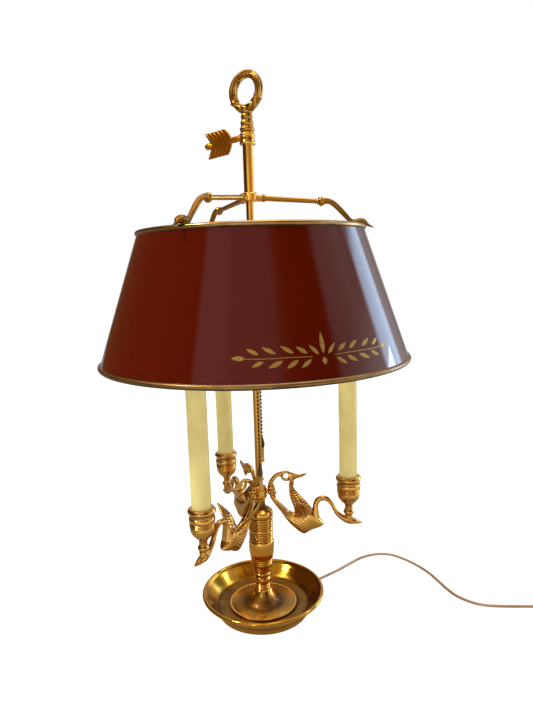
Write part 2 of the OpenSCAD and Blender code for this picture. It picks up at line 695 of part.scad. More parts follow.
module spider_arm(i) {
    rod = concat(
        [rod_at(0, 4.2), rod_at(0.03, 4.6), rod_at(0.06, 3.2), rod_at(0.08, 3.2), rod_at(0.5, 3), rod_at(0.88, 2.8)],
        [rod_at(0.93, 3.1), rod_at(0.955, 4.2), rod_at(0.98, 5.5), rod_at(1.01, 5.5), rod_at(1.035, 4.4), rod_at(1.05, 3.2)]
    );
    neck = smooth([
        neck_at(-48.5, 37.4, -47.6, 29, 4), neck_at(-41.5, 37, -41.4, 30, 3.8),
        neck_at(-33.6, 32.6, -37, 27.2, 3.8), neck_at(-26.6, 26.4, -31, 22.2, 3.6),
        neck_at(-19.6, 19.2, -24, 15.4, 3.4), neck_at(-13.6, 13, -18, 9.4, 3.3),
        neck_at(-9.6, 11, -12.6, 3.8, 4.2), neck_at(-4.4, 12.2, -6.4, 3.1, 5.6), neck_at(1, 12, -0.6, 3.1, 6),
        neck_at(5, 9.4, 3.6, 3.1, 4.8), neck_at(8, 5.6, 6.8, 2.2, 2.6), neck_at(11.6, 2.8, 11, 1, 1.2),
        neck_at(15, 1, 14.8, 0.2, 0.5)
    ], 3);
    ribbed = [for (j = [0:len(neck) - 1]) let (k = 1 + (j > 4 && j < 14 ? 0.06 * (j % 2) : 0), s = neck[j])
        [s[0], s[1] + k - 1, s[2], s[3], k * s[4], 0]];
    color("darkgoldenrod") at_spider(i) {
        skin([for (s = rod) oval(s, 10)], 10);
        skin([for (s = ribbed) oval(s, 10)], 10);
        translate([0, 0, spider_mid]) bar_x(tenon_r, sleeve_r + 1.4, boss_end + 0.5);
    }
}

// Section of the shade's sheet
module sheet_section() {
    half = [sheet_t / 2, 0];
    polygon([low_mid - half, low_mid + half, top_mid + half, top_mid - half]);
}

module shade_shell() {
    color("darkred") rotate_extrude() sheet_section();
}

module rolled_rim(mid) {
    rotate_extrude() difference() {
        translate(mid) circle(r = roll_r, $fn = 32);
        sheet_section();
    }
}

module shade_low_rim() {
    color("goldenrod") rolled_rim(low_mid);
}

module shade_top_rim() {
    color("goldenrod") rolled_rim(top_mid);
}

// The two chains, as [distance from the rod, direction]
chain_places = [[front_reach, front_turn], [rear_reach, rear_turn]];
module at_chain(k) {
    rotate([0, 0, chain_places[k][1]]) translate([chain_places[k][0], 0, 0]) children();
}

// The two lampholders, with their axis along +X
module at_socket(k) {
    rotate([0, 0, socket_turn + 180 * k]) translate([0, 0, socket_z]) children();
}

module housing_cup() {
    color("goldenrod") difference() {
        translate([0, 0, housing_z]) difference() {
            turned([[housing_r - 1, 0], [housing_r, 1], [housing_r, housing_h]]);
            translate([0, 0, plate_t]) cylinder(r = housing_r - plate_t, h = housing_h);
            translate([0, 0, -1]) cylinder(r = rod_hole, h = plate_t + 2);
        }
        for (k = [0, 1]) at_chain(k) translate([0, 0, housing_z - 1]) cylinder(r = guide_r + fit, h = plate_t + 2);
        for (k = [0, 1]) at_socket(k) bar_x(nipple_r + fit, housing_r - 4, housing_r + 1);
    }
}

module housing_lid() {
    color("goldenrod") translate([0, 0, lid_z]) turned([
        [housing_r + 0.4, 0], [housing_r + 0.4, 1], [housing_r - 2, 2.6], [12, 4.2], [9, lid_h]
    ], rod_hole);
}

module housing_nuts() {
    h = 3.4;
    color("silver") for (z = [housing_z - h, lid_z + lid_h]) translate([0, 0, z]) difference() {
        cylinder(r = 8.4, h = h, $fn = 6);
        translate([0, 0, -1]) cylinder(r = rod_hole, h = h + 2);
    }
}

module chain_guides() {
    color("gold") for (k = [0, 1]) at_chain(k) translate([0, 0, housing_z])
        turned([[3.2, -3], [4, -1.6], [4, 0], [guide_r, 0], [guide_r, switch_z - housing_z]], guide_bore);
}

module switch_units() {
    // Nearest and farthest face of a switch from the rod
    near = 7;
    far = 19.2;
    half_w = 6.4;
    color("black") for (k = [0, 1]) difference() {
        rotate([0, 0, chain_places[k][1]]) translate([near, -half_w, switch_z])
            cube([far - near, 2 * half_w, switch_h]);
        at_chain(k) translate([0, 0, switch_z - 1]) cylinder(r = ball_r + 0.4, h = switch_h - 1);
    }
}

module socket_nipples() {
    color("silver") for (k = [0, 1]) at_socket(k) rotate([0, 90, 0])
        turned([[nipple_r, housing_r - 6], [nipple_r, housing_r + 5.4]], 3.2);
}

module socket_shells() {
    outer = [
        [6.4, 0.1], [11, 1.6], [socket_r - 1.4, 5], [socket_r, 9.6], [socket_r, socket_l - 3],
        [socket_r + 0.6, socket_l - 2], [socket_r + 0.6, socket_l]
    ];
    inner = [
        [socket_r - 0.6, socket_l], [socket_r - 0.6, socket_l - 1.4], [socket_r - 1.2, socket_l - 2.6],
        [socket_r - 1.2, 10], [socket_r - 3, 5.8], [9, 2.8], [nipple_r + fit, 2.8]
    ];
    color("goldenrod") for (k = [0, 1]) at_socket(k) translate([housing_r, 0, 0]) rotate([0, 90, 0])
        rotate_extrude() polygon(concat(outer, inner, [[nipple_r + fit, 0.1]]));
}

module socket_liners() {
    r = socket_r - 1.3;
    color("white") for (k = [0, 1]) at_socket(k) translate([housing_r, 0, 0]) rotate([0, 90, 0])
        rotate_extrude() polygon([
            [0, 10], [r, 10], [r, socket_l - 3], [r - 0.8, socket_l - 3], [r - 0.8, 15], [0, 15]
        ]);
}

module screw_shells() {
    r = socket_r - 2.2;
    color("gold") for (k = [0, 1]) at_socket(k) translate([housing_r, 0, 0]) rotate([0, 90, 0])
        turned([[r, 15], [r, socket_l - 5]], r - 0.5);
}

module bulb_caps() {
    r = socket_r - 2.8;
    color("silver") for (k = [0, 1]) at_socket(k) translate([housing_r, 0, 0]) rotate([0, 90, 0])
        turned([[3, 15], [6, 16.2], [r - 1.2, 18.4], [r, 20], [r, socket_l - 1.6]]);
}

module bulb_glass() {
    shoulder = socket_l - 1.6;
    middle = shoulder + 12 + bulb_r;
    start = 90 + acos(12.4 / bulb_r);
    color("white") for (k = [0, 1]) at_socket(k) translate([housing_r, 0, 0]) rotate([0, 90, 0])
        rotate_extrude() polygon(concat(
            [[0, shoulder], [12.4, shoulder]],
            [for (a = [0:10:130]) let (t = 1 - a / 130, b = -56 * t + 90 * (1 - t))
                [max(bulb_r * cos(b), 0), middle + bulb_r * sin(b)]]
        ));
}

// Ball chain at one of the two places, from inside its switch down to its bell
module ball_chain(k, bell_z) {
    top = switch_z + 5;
    low = bell_z + bell_len + ball_r;
    balls = floor((top - low) / ball_pitch);
    color("saddlebrown") at_chain(k) union() {
        for (i = [0:balls]) translate([0, 0, top - i * (top - low) / balls]) sphere(r = ball_r, $fn = 24);
        translate([0, 0, low - ball_r - 2]) cylinder(r = 0.5, h = top - low + ball_r + 2);
    }
}

module chain_bell(k, bell_z) {
    color("goldenrod") at_chain(k) translate([0, 0, bell_z]) difference() {
        turned([
            [2.6, 0], [3, 0.6], [2.7, 1.4], [2.4, 3], [2.3, 19], [2.6, 20], [3.25, 21], [3.3, 24], [3, 27],
            [2.2, 30], [1.5, 32], [1.3, bell_len]
        ]);
        translate([0, 0, bell_len - 3]) cylinder(r = 0.55, h = 4, $fn = 24);
    }
}

module inner_lead() {
    r = 1.25;
    z = pad_t + r;
    color("khaki") union() {
        rotate([0, 0, flex_turn]) translate([0, 0, z]) bar_x(r, 0, foot_r - 8);
        translate([0, 0, z]) cylinder(r = r, h = socket_z - z - 4);
        translate([0, 0, z]) sphere(r = r);
    }
}

module cord_bushing() {
    color("black") rotate([0, 0, flex_turn]) translate([0, 0, bush_z]) rotate([0, 90, 0]) turned([
        [bush_r, foot_r - land_w], [bush_r, foot_r + 0.4], [bush_head_r, foot_r + 0.4],
        [bush_r + 0.4, foot_r + 1.4], [bush_r - 0.2, bush_end]
    ]);
}

// Flat flex through points, as rings of 8 corners
module flex_along(points) {
    k = [for (i = [0:len(points) - 1])
        let (t = points[min(i + 1, len(points) - 1)] - points[max(i - 1, 0)]) t / norm(t)];
    skin([for (i = [0:len(points) - 1])
        let (s = cross(k[i], [0, 0, 1]), side = s / norm(s), up = cross(side, k[i]))
        [for (a = [0:45:315]) points[i] + side * cos(a) * flex_w / 2 + up * sin(a) * flex_t / 2]
    ], 8);
}

module cord_run() {
    out = [cos(flex_turn), sin(flex_turn), 0];
    start = [bush_end * out[0], bush_end * out[1], bush_z];
    color("tan") flex_along(smooth(concat([start, start + [4.6 * out[0], 4.6 * out[1], -0.3]], route), 1));
}

module cord_coil() {
    half = coil_turns * flex_w / 2;
    color("tan") translate([coil_mid[0], coil_mid[1], 0]) rotate_extrude()
        polygon([[coil_r - half, 0], [coil_r + half, 0], [coil_r + half, coil_turns * flex_t],
            [coil_r - half, coil_turns * flex_t]]);
}

module cord_tail() {
    color("tan") flex_along(smooth(tail, 2));
}

module plug_body() {
    relief = 18;
    body_l = 26;
    body_w = 24;
    color("tan") translate([plug_x, plug_y - 0.1, plug_z]) rotate([90, 0, 0]) union() {
        cylinder(r1 = 3.2, r2 = 5, h = relief);
        translate([0, 0, relief]) linear_extrude(body_l) polygon(concat(
            arc([body_w / 2 - 5.8, 0], 5.8, -90, 90, 6), arc([5.8 - body_w / 2, 0], 5.8, 90, 270, 6)
        ));
    }
}

module plug_blades() {
    color("silver") for (s = [-1, 1]) translate([plug_x + s * 6.35 - 0.75, plug_y - 61.1, plug_z - 3.15])
        cube([1.5, 17, 6.3]);
}

base_pad();
dish();
weight();
base_nut();
stem_foot();
stem_knop();
stem_barrel();
stem_drum();
stem_neck();
arm_hub();
hub_cap();
tie_rod();
centre_rod();
finial_neck();
finial_ring();
swan_arm(0);  // swan_arm_1
swan_arm(1);  // swan_arm_2
swan_arm(2);  // swan_arm_3
candle_cup(0);  // candle_cup_1
candle_cup(1);  // candle_cup_2
candle_cup(2);  // candle_cup_3
cup_screws();
candle(0);  // candle_1
candle(1);  // candle_2
candle(2);  // candle_3
wicks();
slide_collar();
collar_ring();
arrow_key();
sleeve();
spider_hub();
spider_arm(0);  // spider_arm_1
spider_arm(1);  // spider_arm_2
spider_arm(2);  // spider_arm_3
shade_shell();
shade_low_rim();
shade_top_rim();
housing_cup();
housing_lid();
housing_nuts();
chain_guides();
switch_units();
socket_nipples();
socket_shells();
socket_liners();
screw_shells();
bulb_caps();
bulb_glass();
ball_chain(0, front_bell_z);  // front_chain
chain_bell(0, front_bell_z);  // front_bell
ball_chain(1, rear_bell_z);  // rear_chain
chain_bell(1, rear_bell_z);  // rear_bell
inner_lead();
cord_bushing();
cord_run();
cord_coil();
cord_tail();
plug_body();
plug_blades();
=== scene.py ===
# %% [markdown]
# # A bouillotte lamp in brass and red lacquer
# This table lamp stands on a brass dish. A turned column carries three swan arms with candle
# cups, and a lacquered metal shade hangs from a spider that slides on the centre rod.
# The solid model is loaded first as a fixed frame. Each finished piece below takes the place of
# one of its nodes and rides on one of its bodies. All lengths are written in millimetres.

# %% Load the frame
from math import acos, atan, atan2, copysign, cos, hypot, pi, radians, sin, tan

import bmesh
import bpy
import numpy as np
from mathutils import Matrix, Vector


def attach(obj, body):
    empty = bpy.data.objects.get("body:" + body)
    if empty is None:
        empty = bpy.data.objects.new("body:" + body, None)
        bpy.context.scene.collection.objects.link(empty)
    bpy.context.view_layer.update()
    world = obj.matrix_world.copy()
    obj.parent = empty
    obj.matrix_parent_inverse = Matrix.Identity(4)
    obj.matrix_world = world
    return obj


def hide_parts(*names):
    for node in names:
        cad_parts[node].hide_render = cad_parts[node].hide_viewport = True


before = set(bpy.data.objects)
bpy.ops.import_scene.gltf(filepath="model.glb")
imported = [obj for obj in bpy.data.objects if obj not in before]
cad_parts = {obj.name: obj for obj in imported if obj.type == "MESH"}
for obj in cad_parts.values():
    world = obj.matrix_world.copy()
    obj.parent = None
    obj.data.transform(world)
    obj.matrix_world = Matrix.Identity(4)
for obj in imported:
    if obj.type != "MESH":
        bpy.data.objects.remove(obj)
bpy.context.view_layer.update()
mm = 0.001
scene = bpy.context.scene
scene.view_settings.view_transform = "Standard"


def put(place=(0, 0, 0), degrees=0, axis="Z"):
    """The move that turns a thing about an axis and then carries it to a place."""
    return Matrix.Translation(place) @ Matrix.Rotation(radians(degrees), 4, axis)


def placed(name, data):
    """A new object of the scene."""
    piece = bpy.data.objects.new(name, data)
    scene.collection.objects.link(piece)
    return piece


# %% [markdown]
# ## Camera
# The lamp is seen from the height of the shade, so the eye looks down into the dish and up at the
# finial. The camera is turned by three plain angles: its heading, its tilt and its roll.

# %% Camera
eye = Vector((67.2, -711.1, 449.5)) * mm
heading, tilt, roll = 4.24, 81.34, -1.81
camera = placed("Camera", bpy.data.cameras.new("Camera"))
camera.data.lens = 29.22
camera.data.sensor_width = 36
camera.data.clip_start = 0.02
camera.matrix_world = put(eye, heading) @ put(degrees=tilt, axis="X") @ put(degrees=roll)
scene.camera = camera
print("camera looks down by", round(90 - tilt, 2), "degrees")

# %% [markdown]
# ## Sums on sockets
# Materials and node trees are mostly arithmetic. The class below wraps one output socket, so that
# `1 - mask * 0.5` in Python adds the two Math nodes it needs. Every other kind of node comes from
# its `node` method, which takes the values or wires of the node's inputs, and then its settings.


# %% The wire class
def maths(operation, swap=False):
    """A Python operator that adds a Math node."""
    return lambda wire, other: wire.sum(operation, *((other, wire) if swap else (wire, other)))


class Wire:
    """One output of a node tree, which takes part in Python sums."""

    __add__ = __radd__ = maths("ADD")
    __mul__ = __rmul__ = maths("MULTIPLY")
    __sub__, __rsub__, __truediv__ = maths("SUBTRACT"), maths("SUBTRACT", True), maths("DIVIDE")

    def __init__(self, tree, socket=None):
        self.tree, self.socket = tree, socket

    def node(self, kind, inputs=None, settings=None, out=0, family="Shader"):
        """Adds a node, sets it up, feeds its inputs, and gives its output number out."""
        made = self.tree.nodes.new(f"{family}Node{kind}")
        for key, value in (settings or {}).items():
            setattr(made, key, value)
        for key, value in (inputs or {}).items():
            if isinstance(value, Wire):
                self.tree.links.new(value.socket, made.inputs[key])
            else:
                made.inputs[key].default_value = value
        return Wire(self.tree, made.outputs[out]) if len(made.outputs) else made

    def geo(self, kind, inputs=None, settings=None, out=0):
        return self.node(kind, inputs, settings, out, "Geometry")

    def sum(self, operation, *values):
        return self.node("Math", dict(enumerate(values)), {"operation": operation})

    def capped(self):
        return self.sum("MINIMUM", self, 1)

    def between(self, low, high):
        """0 below low, 1 above high, and a smooth step between them."""
        inputs = {"Value": self, "From Min": low, "From Max": high}
        return self.node("MapRange", inputs, {"interpolation_type": "SMOOTHSTEP"})

    def blend(self, first, second):
        """Mixes two colours, with this wire as the share of the second."""
        return self.node("Mix", {0: self, 6: first, 7: second}, {"data_type": "RGBA"}, 2)

    def greys(self, stops):
        """A colour ramp that this wire runs along, with a grey tone at each place."""
        wire = self.node("ValToRGB", {0: self})
        ramp = wire.socket.node.color_ramp.elements
        while len(ramp) < len(stops):
            ramp.new(1)
        for stop, (place, tone) in zip(ramp, stops):
            stop.position, stop.color = place, (tone, tone, tone, 1)
        return wire

    def vector(self, *parts):
        return self.node("CombineXYZ", dict(enumerate(parts)))

    def parts(self):
        """The three parts of a vector."""
        return [self.node("SeparateXYZ", {0: self}, out=i) for i in range(3)]

    def place(self):
        """Object coordinates."""
        return self.node("TexCoord", out=3)

    def named(self, attribute):
        return self.node("Attribute", None, {"attribute_name": attribute}, 2)

    def rays(self):
        """Whether a ray comes from the camera, through glass or off gloss."""
        kinds = ("Camera", "Transmission", "Glossy")
        return [self.node("LightPath", out=f"Is {kind} Ray") for kind in kinds]


def emptied(holder):
    """Clears the node tree of a world or a material, and gives a wire to start from."""
    holder.use_nodes = True
    holder.node_tree.nodes.clear()
    return Wire(holder.node_tree)


def tint(*screen):
    """A screen colour from 0 to 255 as the light values that a node wants."""
    return (*(c / 255 / 12.92 if c < 11 else ((c / 255 + 0.055) / 1.055) ** 2.4 for c in screen), 1)


# %% [markdown]
# ## Floor and light
# A polished metal shows what surrounds it. The world is white to the camera, but gloss sees a room
# round the lamp: a warm, dark wall on the left, a pale wall in front, and a bright window behind on
# the right. The key and top lamps hang high, so that they light the lacquer and don't mirror in it.
# A low strip in front, a window at the side and a far lamp on the right put glints on the brass.
# The floor keeps the lamp's shadow, and is lifted to white for the eye. In gloss it shows a painted
# reflection: dim and warm near the lamp, and brighter far off on the lit side.

# %% World
scene.world = bpy.data.worlds.new("Studio")
air = emptied(scene.world)
east, north, up = air.node("TexCoord").parts()
to_eye, through, mirrored = air.rays()
compass = east.sum("ARCTAN2", east, north * -1) / (2 * pi) + 0.5
round_about = compass.greys([
    (0, 0.26), (0.05, 0.2), (0.09, 0.045), (0.3, 0.036), (0.378, 0.03), (0.392, 0.135), (0.45, 0.13),
    (0.46, 0.105), (0.56, 0.1), (0.6, 0.02), (0.68, 0.02), (0.7, 0.15), (0.77, 0.2), (0.808, 0.13),
    (0.82, 1), (0.868, 1.1), (0.882, 0.3), (0.93, 0.1), (0.97, 0.2), (1, 0.26)])
overhead = up.between(0.68, 0.95)
horizon = (1 - up.between(0.16, 0.36)) * (east * 0.9 - north).between(0, 0.6)
pane = round_about.between(0.3, 0.7) * up.between(0.32, 0.42)
room = round_about * 3.2 * (1 - overhead) * (1 - pane * 0.9) + overhead * 1.6 + horizon * 0.75
paint = round_about.between(0.04, 0.12).blend((1, 0.5, 0.14, 1), (1, 0.95, 0.86, 1))
warmth = round_about.blend(paint, (0.82, 1.12, 1.5, 1))
mirror = air.node("Background", {"Color": warmth, "Strength": room})
white = air.node("Background", {"Color": (1, 1, 1, 1), "Strength": 1})
soft = air.node("Background", {"Color": (1, 0.98, 0.95, 1), "Strength": 0.55})
seen = air.node("MixShader", {0: mirrored, 1: soft, 2: mirror})
seen = air.node("MixShader", {0: (to_eye + through).capped(), 1: seen, 2: white})
air.node("OutputWorld", {"Surface": seen})


# %% Floor and lamps
def softbox(name, place, size, power, colour, aim=(0, 0, 0.3)):
    """A square of soft light at a place, turned to shine at a point."""
    light = bpy.data.lights.new(name, "AREA")
    light.shape = "RECTANGLE"
    light.size, light.size_y = size
    light.energy, light.color = power, colour
    turn = (Vector(aim) - Vector(place)).to_track_quat("-Z", "Y")
    placed(name, light).matrix_world = put(place) @ turn.to_matrix().to_4x4()


softbox("KeyLight", (-1.4, -0.7, 2.3), (0.36, 0.36), 36, (1, 0.95, 0.88))
softbox("RightGlint", (6, 1.5, 5.2), (0.55, 1.4), 50, (1, 0.92, 0.9), (0, 0, 0))
softbox("FrontStrip", (-0.32, -1.45, 0.42), (0.12, 0.8), 1.1, (1, 0.97, 0.92))
softbox("SideWindow", (1.45, 0.62, 0.32), (0.3, 0.5), 2.6, (0.96, 0.98, 1))
softbox("TopLight", (0.2, 0.3, 2.4), (1.2, 1.2), 10, (1, 0.97, 0.93))

floor_mesh = bpy.data.meshes.new("Floor")
floor_mesh.from_pydata([(-6, -6, 0), (6, -6, 0), (6, 6, 0), (-6, 6, 0)], [], [(0, 1, 2, 3)])
floor = placed("Floor", floor_mesh)
floor_paint = bpy.data.materials.new("pale floor")
floor_mesh.materials.append(floor_paint)
ground = emptied(floor_paint)
matt = ground.node("BsdfDiffuse", {"Color": (0.86, 0.85, 0.83, 1)})
to_eye, through, mirrored = ground.rays()
spot = ground.place()
away = ground.node("VectorMath", {0: spot}, {"operation": "LENGTH"}, 1)
across, beyond, _ = spot.parts()
# Painted reflection, seen only in gloss: the floor glows brighter far off on the lit side and dim near the
# lamp.
lit_side = ((across * 0.9 - beyond) / away).between(-0.3, 0.6)
painted_reflection_strength = 0.4 + away.between(0.1, 0.85) * (lit_side * 0.8)
# Painted reflection, seen only in gloss: near the lamp the floor is tinted warm.
near = (1 - away.between(0.15, 0.6)) * mirrored
glow = ground.node("Emission", {"Color": near.blend((1, 1, 1, 1), (1, 0.83, 0.5, 1)),
                                "Strength": 1.3 + mirrored * (painted_reflection_strength - 1.3)})
share = (to_eye + through).capped() * 0.74 + mirrored * 0.9
seen = ground.node("MixShader", {0: share, 1: matt, 2: glow})
ground.node("OutputMaterial", {"Surface": seen})

# %% [markdown]
# ## Metals
# All the brass is one recipe with other numbers: an open colour, a darker tarnish that gathers in
# blotches and in the grooves, and fine scratches that roughen the shine. The grooves come from a
# point attribute named recess, which a later helper works out from the mesh itself.


# %% Brass
def finish(name):
    """A new material, and a wire to start from."""
    material = bpy.data.materials.new(name)
    return material, emptied(material)


def noise(start, scale, detail=3, place=None):
    inputs = {"Vector": place or start.place(), "Scale": scale, "Detail": detail, "Roughness": 0.55}
    return start.node("TexNoise", inputs)


def stretched(start, x, y, z):
    """Object coordinates, squeezed so that a pattern runs along one way."""
    return start.node("Mapping", {"Vector": start.place(), "Scale": (x, y, z)})


def coated(start, inputs, height, strength=0.1, distance=0.0005):
    """Ends a material with its shader and its bump."""
    bump = start.node("Bump", {"Height": height, "Strength": strength, "Distance": distance})
    shader = start.node("BsdfPrincipled", {**inputs, "Normal": bump})
    start.node("OutputMaterial", {"Surface": shader})


def brass(name, open_colour, tarnish, shine, age, grit=1, coat=0.25):
    """Aged brass. shine is its roughness where it is clean, age how much tarnish shows, and coat the
    clear lacquer over it."""
    material, start = finish(name)
    blotch = noise(start, 38, 4).between(0.45, 0.72)
    speck = noise(start, 330).between(0.58, 0.74)
    recess = start.named("recess")
    scratch = noise(start, 1, 2, stretched(start, 240, 240, 3800)).between(0.5, 0.75)
    dirt = recess * 0.9 + blotch * (age * 0.5) + speck * (age * 0.3)
    rough = shine + blotch * 0.08 + recess * 0.3 + scratch * 0.06
    height = noise(start, 600) * (0.16 * grit) + noise(start, 70, 2) * 0.5
    coated(start, {"Base Color": dirt.capped().blend(tint(*open_colour), tint(*tarnish)), "Roughness": rough,
                   "Metallic": 1, "Coat Weight": coat, "Coat Roughness": 0.08}, height, 0.14, 0.0004)
    return material


polished_brass = brass("polished brass", (222, 166, 70), (92, 54, 14), 0.16, 0.35)
rod_brass = brass("dark rod brass", (194, 142, 52), (70, 42, 12), 0.14, 0.4)
dish_brass = brass("dish brass", (204, 148, 46), (104, 64, 12), 0.09, 0.55, 0.5, 0.08)
cast_brass = brass("cast brass", (210, 158, 76), (64, 38, 10), 0.14, 0.62)
key_brass = brass("red cast brass", (206, 128, 16), (160, 88, 6), 0.36, 0.3, 0.2, 0.1)
old_brass = brass("old cast brass", (178, 126, 46), (66, 38, 8), 0.24, 0.6, 1.4, 0.06)
gilt_roll = brass("rolled rim brass", (168, 130, 74), (64, 42, 22), 0.28, 0.8)
contact_brass = brass("contact brass", (206, 164, 84), (120, 86, 40), 0.3, 0.4)
chain_bronze = brass("chain bronze", (84, 58, 32), (22, 13, 6), 0.34, 0.9)
bell_bronze = brass("bell brass", (196, 152, 82), (30, 22, 14), 0.22, 0.45)

steel, start = finish("plated steel")
dull = noise(start, 60, 4).between(0.4, 0.7)
coated(start, {"Base Color": dull.blend(tint(196, 196, 192), tint(140, 134, 124)), "Metallic": 1,
               "Roughness": dull * 0.2 + 0.24}, noise(start, 800), 0.1)

# %% [markdown]
# ## Lacquer, wax and the rest
# The shade is sheet metal under red-brown lacquer. Its body colour is dark, and a clear coat gives
# the reflections. A very shallow, wide bump makes them waver as they do on hand-made sheet.

# %% Lacquer
lacquer, start = finish("shade lacquer")
cloud = noise(start, 9, 3).between(0.3, 0.75)
inside, worn = start.named("inside"), start.named("worn")
fleck = noise(start, 520, 2).between(0.66, 0.78)
chip = (noise(start, 160, 4) + worn * 0.22).between(0.72, 0.78)
red = cloud.blend(tint(87, 16, 2), tint(80, 13, 2))
red = (fleck * 0.25).blend(red, tint(52, 14, 10))
red = (chip * 0.6).blend(red, tint(58, 36, 20))
enamel = cloud.blend(tint(236, 228, 208), tint(226, 216, 192))
wave = noise(start, 6.5, 2, stretched(start, 1, 1, 0.35)) + noise(start, 420, 2) * 0.012
coated(start, {"Base Color": inside.blend(red, enamel), "Roughness": 0.34 + inside * 0.2 + fleck * 0.08,
               "Specular IOR Level": 0, "Coat Weight": 1 - inside * 0.7, "Coat Roughness": 0.05,
               "Coat IOR": 1.5}, wave, 0.22, 0.004)

stencil_gold, start = finish("stencil gold")
rub = noise(start, 260, 4).between(0.42, 0.72)
edge = start.named("edge")
coated(start, {"Base Color": (rub * 0.45 + edge * 0.4).blend(tint(168, 132, 58), tint(96, 62, 24)),
               "Metallic": 0.55, "Roughness": 0.42 + rub * 0.15}, noise(start, 700), 0.12)


# %% Wax, thread and felt
def plain(name, first, second, scale, rough, bump=0.1, **constants):
    """A material of two close colours in soft clouds, with a fine surface."""
    material, start = finish(name)
    cloud = noise(start, scale, 4).between(0.35, 0.7)
    inputs = {"Base Color": cloud.blend(tint(*first), tint(*second)), "Roughness": rough + cloud * 0.08}
    coated(start, {**inputs, **constants}, noise(start, scale * 9), bump)
    return material


wax = plain("candle wax", (238, 224, 148), (230, 212, 130), 30, 0.38, 0.12, **{
    "Subsurface Weight": 0.35, "Subsurface Radius": (0.012, 0.009, 0.003), "Subsurface Scale": 0.5})
cotton = plain("wick cotton", (232, 224, 204), (150, 138, 118), 700, 0.85, 0.4)
felt = plain("base felt", (46, 74, 44), (34, 58, 36), 420, 0.95, 0.6)
lead_weight = plain("ballast", (92, 92, 90), (70, 70, 70), 40, 0.6, 0.3, Metallic=0.6)
phenolic = plain("switch black", (26, 25, 24), (38, 34, 30), 60, 0.36, 0.15)
ceramic = plain("lampholder ceramic", (236, 232, 220), (222, 214, 196), 50, 0.3)
bulb_metal = plain("bulb cap metal", (190, 190, 186), (160, 158, 150), 80, 0.28, Metallic=1)
frosted = plain("bulb glass", (244, 242, 236), (236, 232, 222), 20, 0.3, 0.05, **{
    "Transmission Weight": 0.25, "Coat Weight": 0.4})
rubber = plain("bushing black", (30, 28, 26), (44, 40, 36), 120, 0.55, 0.25)
moulded = plain("plug plastic", (178, 132, 82), (150, 106, 64), 60, 0.35, **{"Coat Weight": 0.3})

flex_gold, start = finish("gold flex")
run, round_flex, _ = start.node("UVMap", None, {"uv_map": "UVMap"}).parts()
twist = run * 2400 + round_flex * 25
lay = twist.sum("SINE", twist) * 0.5 + 0.5
hue = noise(start, 26, 3).between(0.35, 0.7)
strand = (lay * 0.55 + hue * 0.3).blend(tint(206, 160, 106), tint(150, 96, 56))
coated(start, {"Base Color": strand, "Metallic": 0.25, "Roughness": 0.3 + lay * 0.12, "Coat Weight": 0.7,
               "Coat Roughness": 0.12}, lay * 0.4 + noise(start, 600) * 0.4, 0.15, 0.0002)
print("materials:", len(bpy.data.materials))

# %% [markdown]
# ## Helpers for shapes
# Most of the lamp was turned on a lathe, so most pieces are an outline spun about the upright axis.
# The cast pieces are soft bodies swept along curves, then fused by a voxel remesh, which rounds the
# places where they meet as real casting does.


# %% Shapes from points
def circle(n):
    return [2 * pi * k / n for k in range(n)]


def arc(x, y, r, angles):
    return [(x + r * cos(a), y + r * sin(a)) for a in angles]


def bead(r, z, high, out, n=10):
    """Half-round moulding, standing out from radius r."""
    return [(r + out * sin(pi * i / n), z + high * i / n) for i in range(n + 1)]


def spun(outline, steps=96, bore=None):
    """Points and faces of an outline spun about Z. Without a bore the outline is a closed loop."""
    if bore is not None:
        outline = [(bore, outline[0][1]), *outline, (bore, outline[-1][1])]
    points, rows = [], []
    for r, z in outline:
        turn = circle(steps)[:steps if r > 1e-6 else 1]
        rows.append([len(points) + i for i in range(len(turn))])
        points += [(r * cos(a), r * sin(a), z) for a in turn]
    faces = []
    for low, high in zip(rows, rows[1:] + rows[:1]):
        for i in range(steps if len(low) + len(high) > 2 else 0):
            k = (i + 1) % steps
            face = [low[i % len(low)], low[k % len(low)], high[k % len(high)], high[i % len(high)]]
            faces.append(list(dict.fromkeys(face)))
    return points, faces


def skinned(points, n, closed=False):
    """Points and faces of a skin over rings of n points. It has flat ends, or runs on from the last
    ring to the first."""
    count, faces = len(points) // n, []
    for i in range(count if closed else count - 1):
        j = (i + 1) % count
        faces += [[i * n + k, i * n + (k + 1) % n, j * n + (k + 1) % n, j * n + k] for k in range(n)]
    if not closed:
        faces += [list(range(n)), [(count - 1) * n + k for k in range(n)]]
    return points, faces


def smooth(stations, steps):
    """A smooth row of values through stations (Catmull-Rom), for points or for whole sections."""
    rows = np.array(stations, float)
    out = []
    for i in range(len(rows) - 1):
        a, b, c, d = rows[max(i - 1, 0)], rows[i], rows[i + 1], rows[min(i + 2, len(rows) - 1)]
        for t in np.arange(steps) / steps:
            out.append((2 * b + (c - a) * t + (2 * a - 5 * b + 4 * c - d) * t**2
                        + (3 * b - a - 3 * c + d) * t**3) / 2)
    return np.array([*out, rows[-1]])


def travelled(path):
    """How far along a path each of its points lies."""
    return np.concatenate([[0], np.cumsum(np.linalg.norm(np.diff(path, axis=0), axis=1))])


def squared(value, full):
    """Draws a sine or cosine towards 1, which squares a round section a little."""
    return copysign(abs(value) ** full, value)


def frames(path, up=(0, 0, 1)):
    """Each point of a path, with the ways to its side and to its top."""
    for i, p in enumerate(path):
        ahead = (Vector(path[min(i + 1, len(path) - 1)]) - Vector(path[max(i - 1, 0)])).normalized()
        side = ahead.cross(Vector(up)).normalized()
        yield Vector(p), side, side.cross(ahead)


def swept(path, sizes, up=(0, 0, 1), n=12, flutes=0, depth=0):
    """Points and faces of a rounded bar along a path. sizes gives (half width, half height) at each
    point, and flutes cuts that many grooves along it."""
    groove = [1 - depth * (0.5 + 0.5 * cos(flutes * a)) for a in circle(n)]
    return skinned([
        p + g * (side * (wide * cos(a)) + top * (high * sin(a)))
        for (p, side, top), (wide, high) in zip(frames(path, up), sizes)
        for a, g in zip(circle(n), groove)], n)


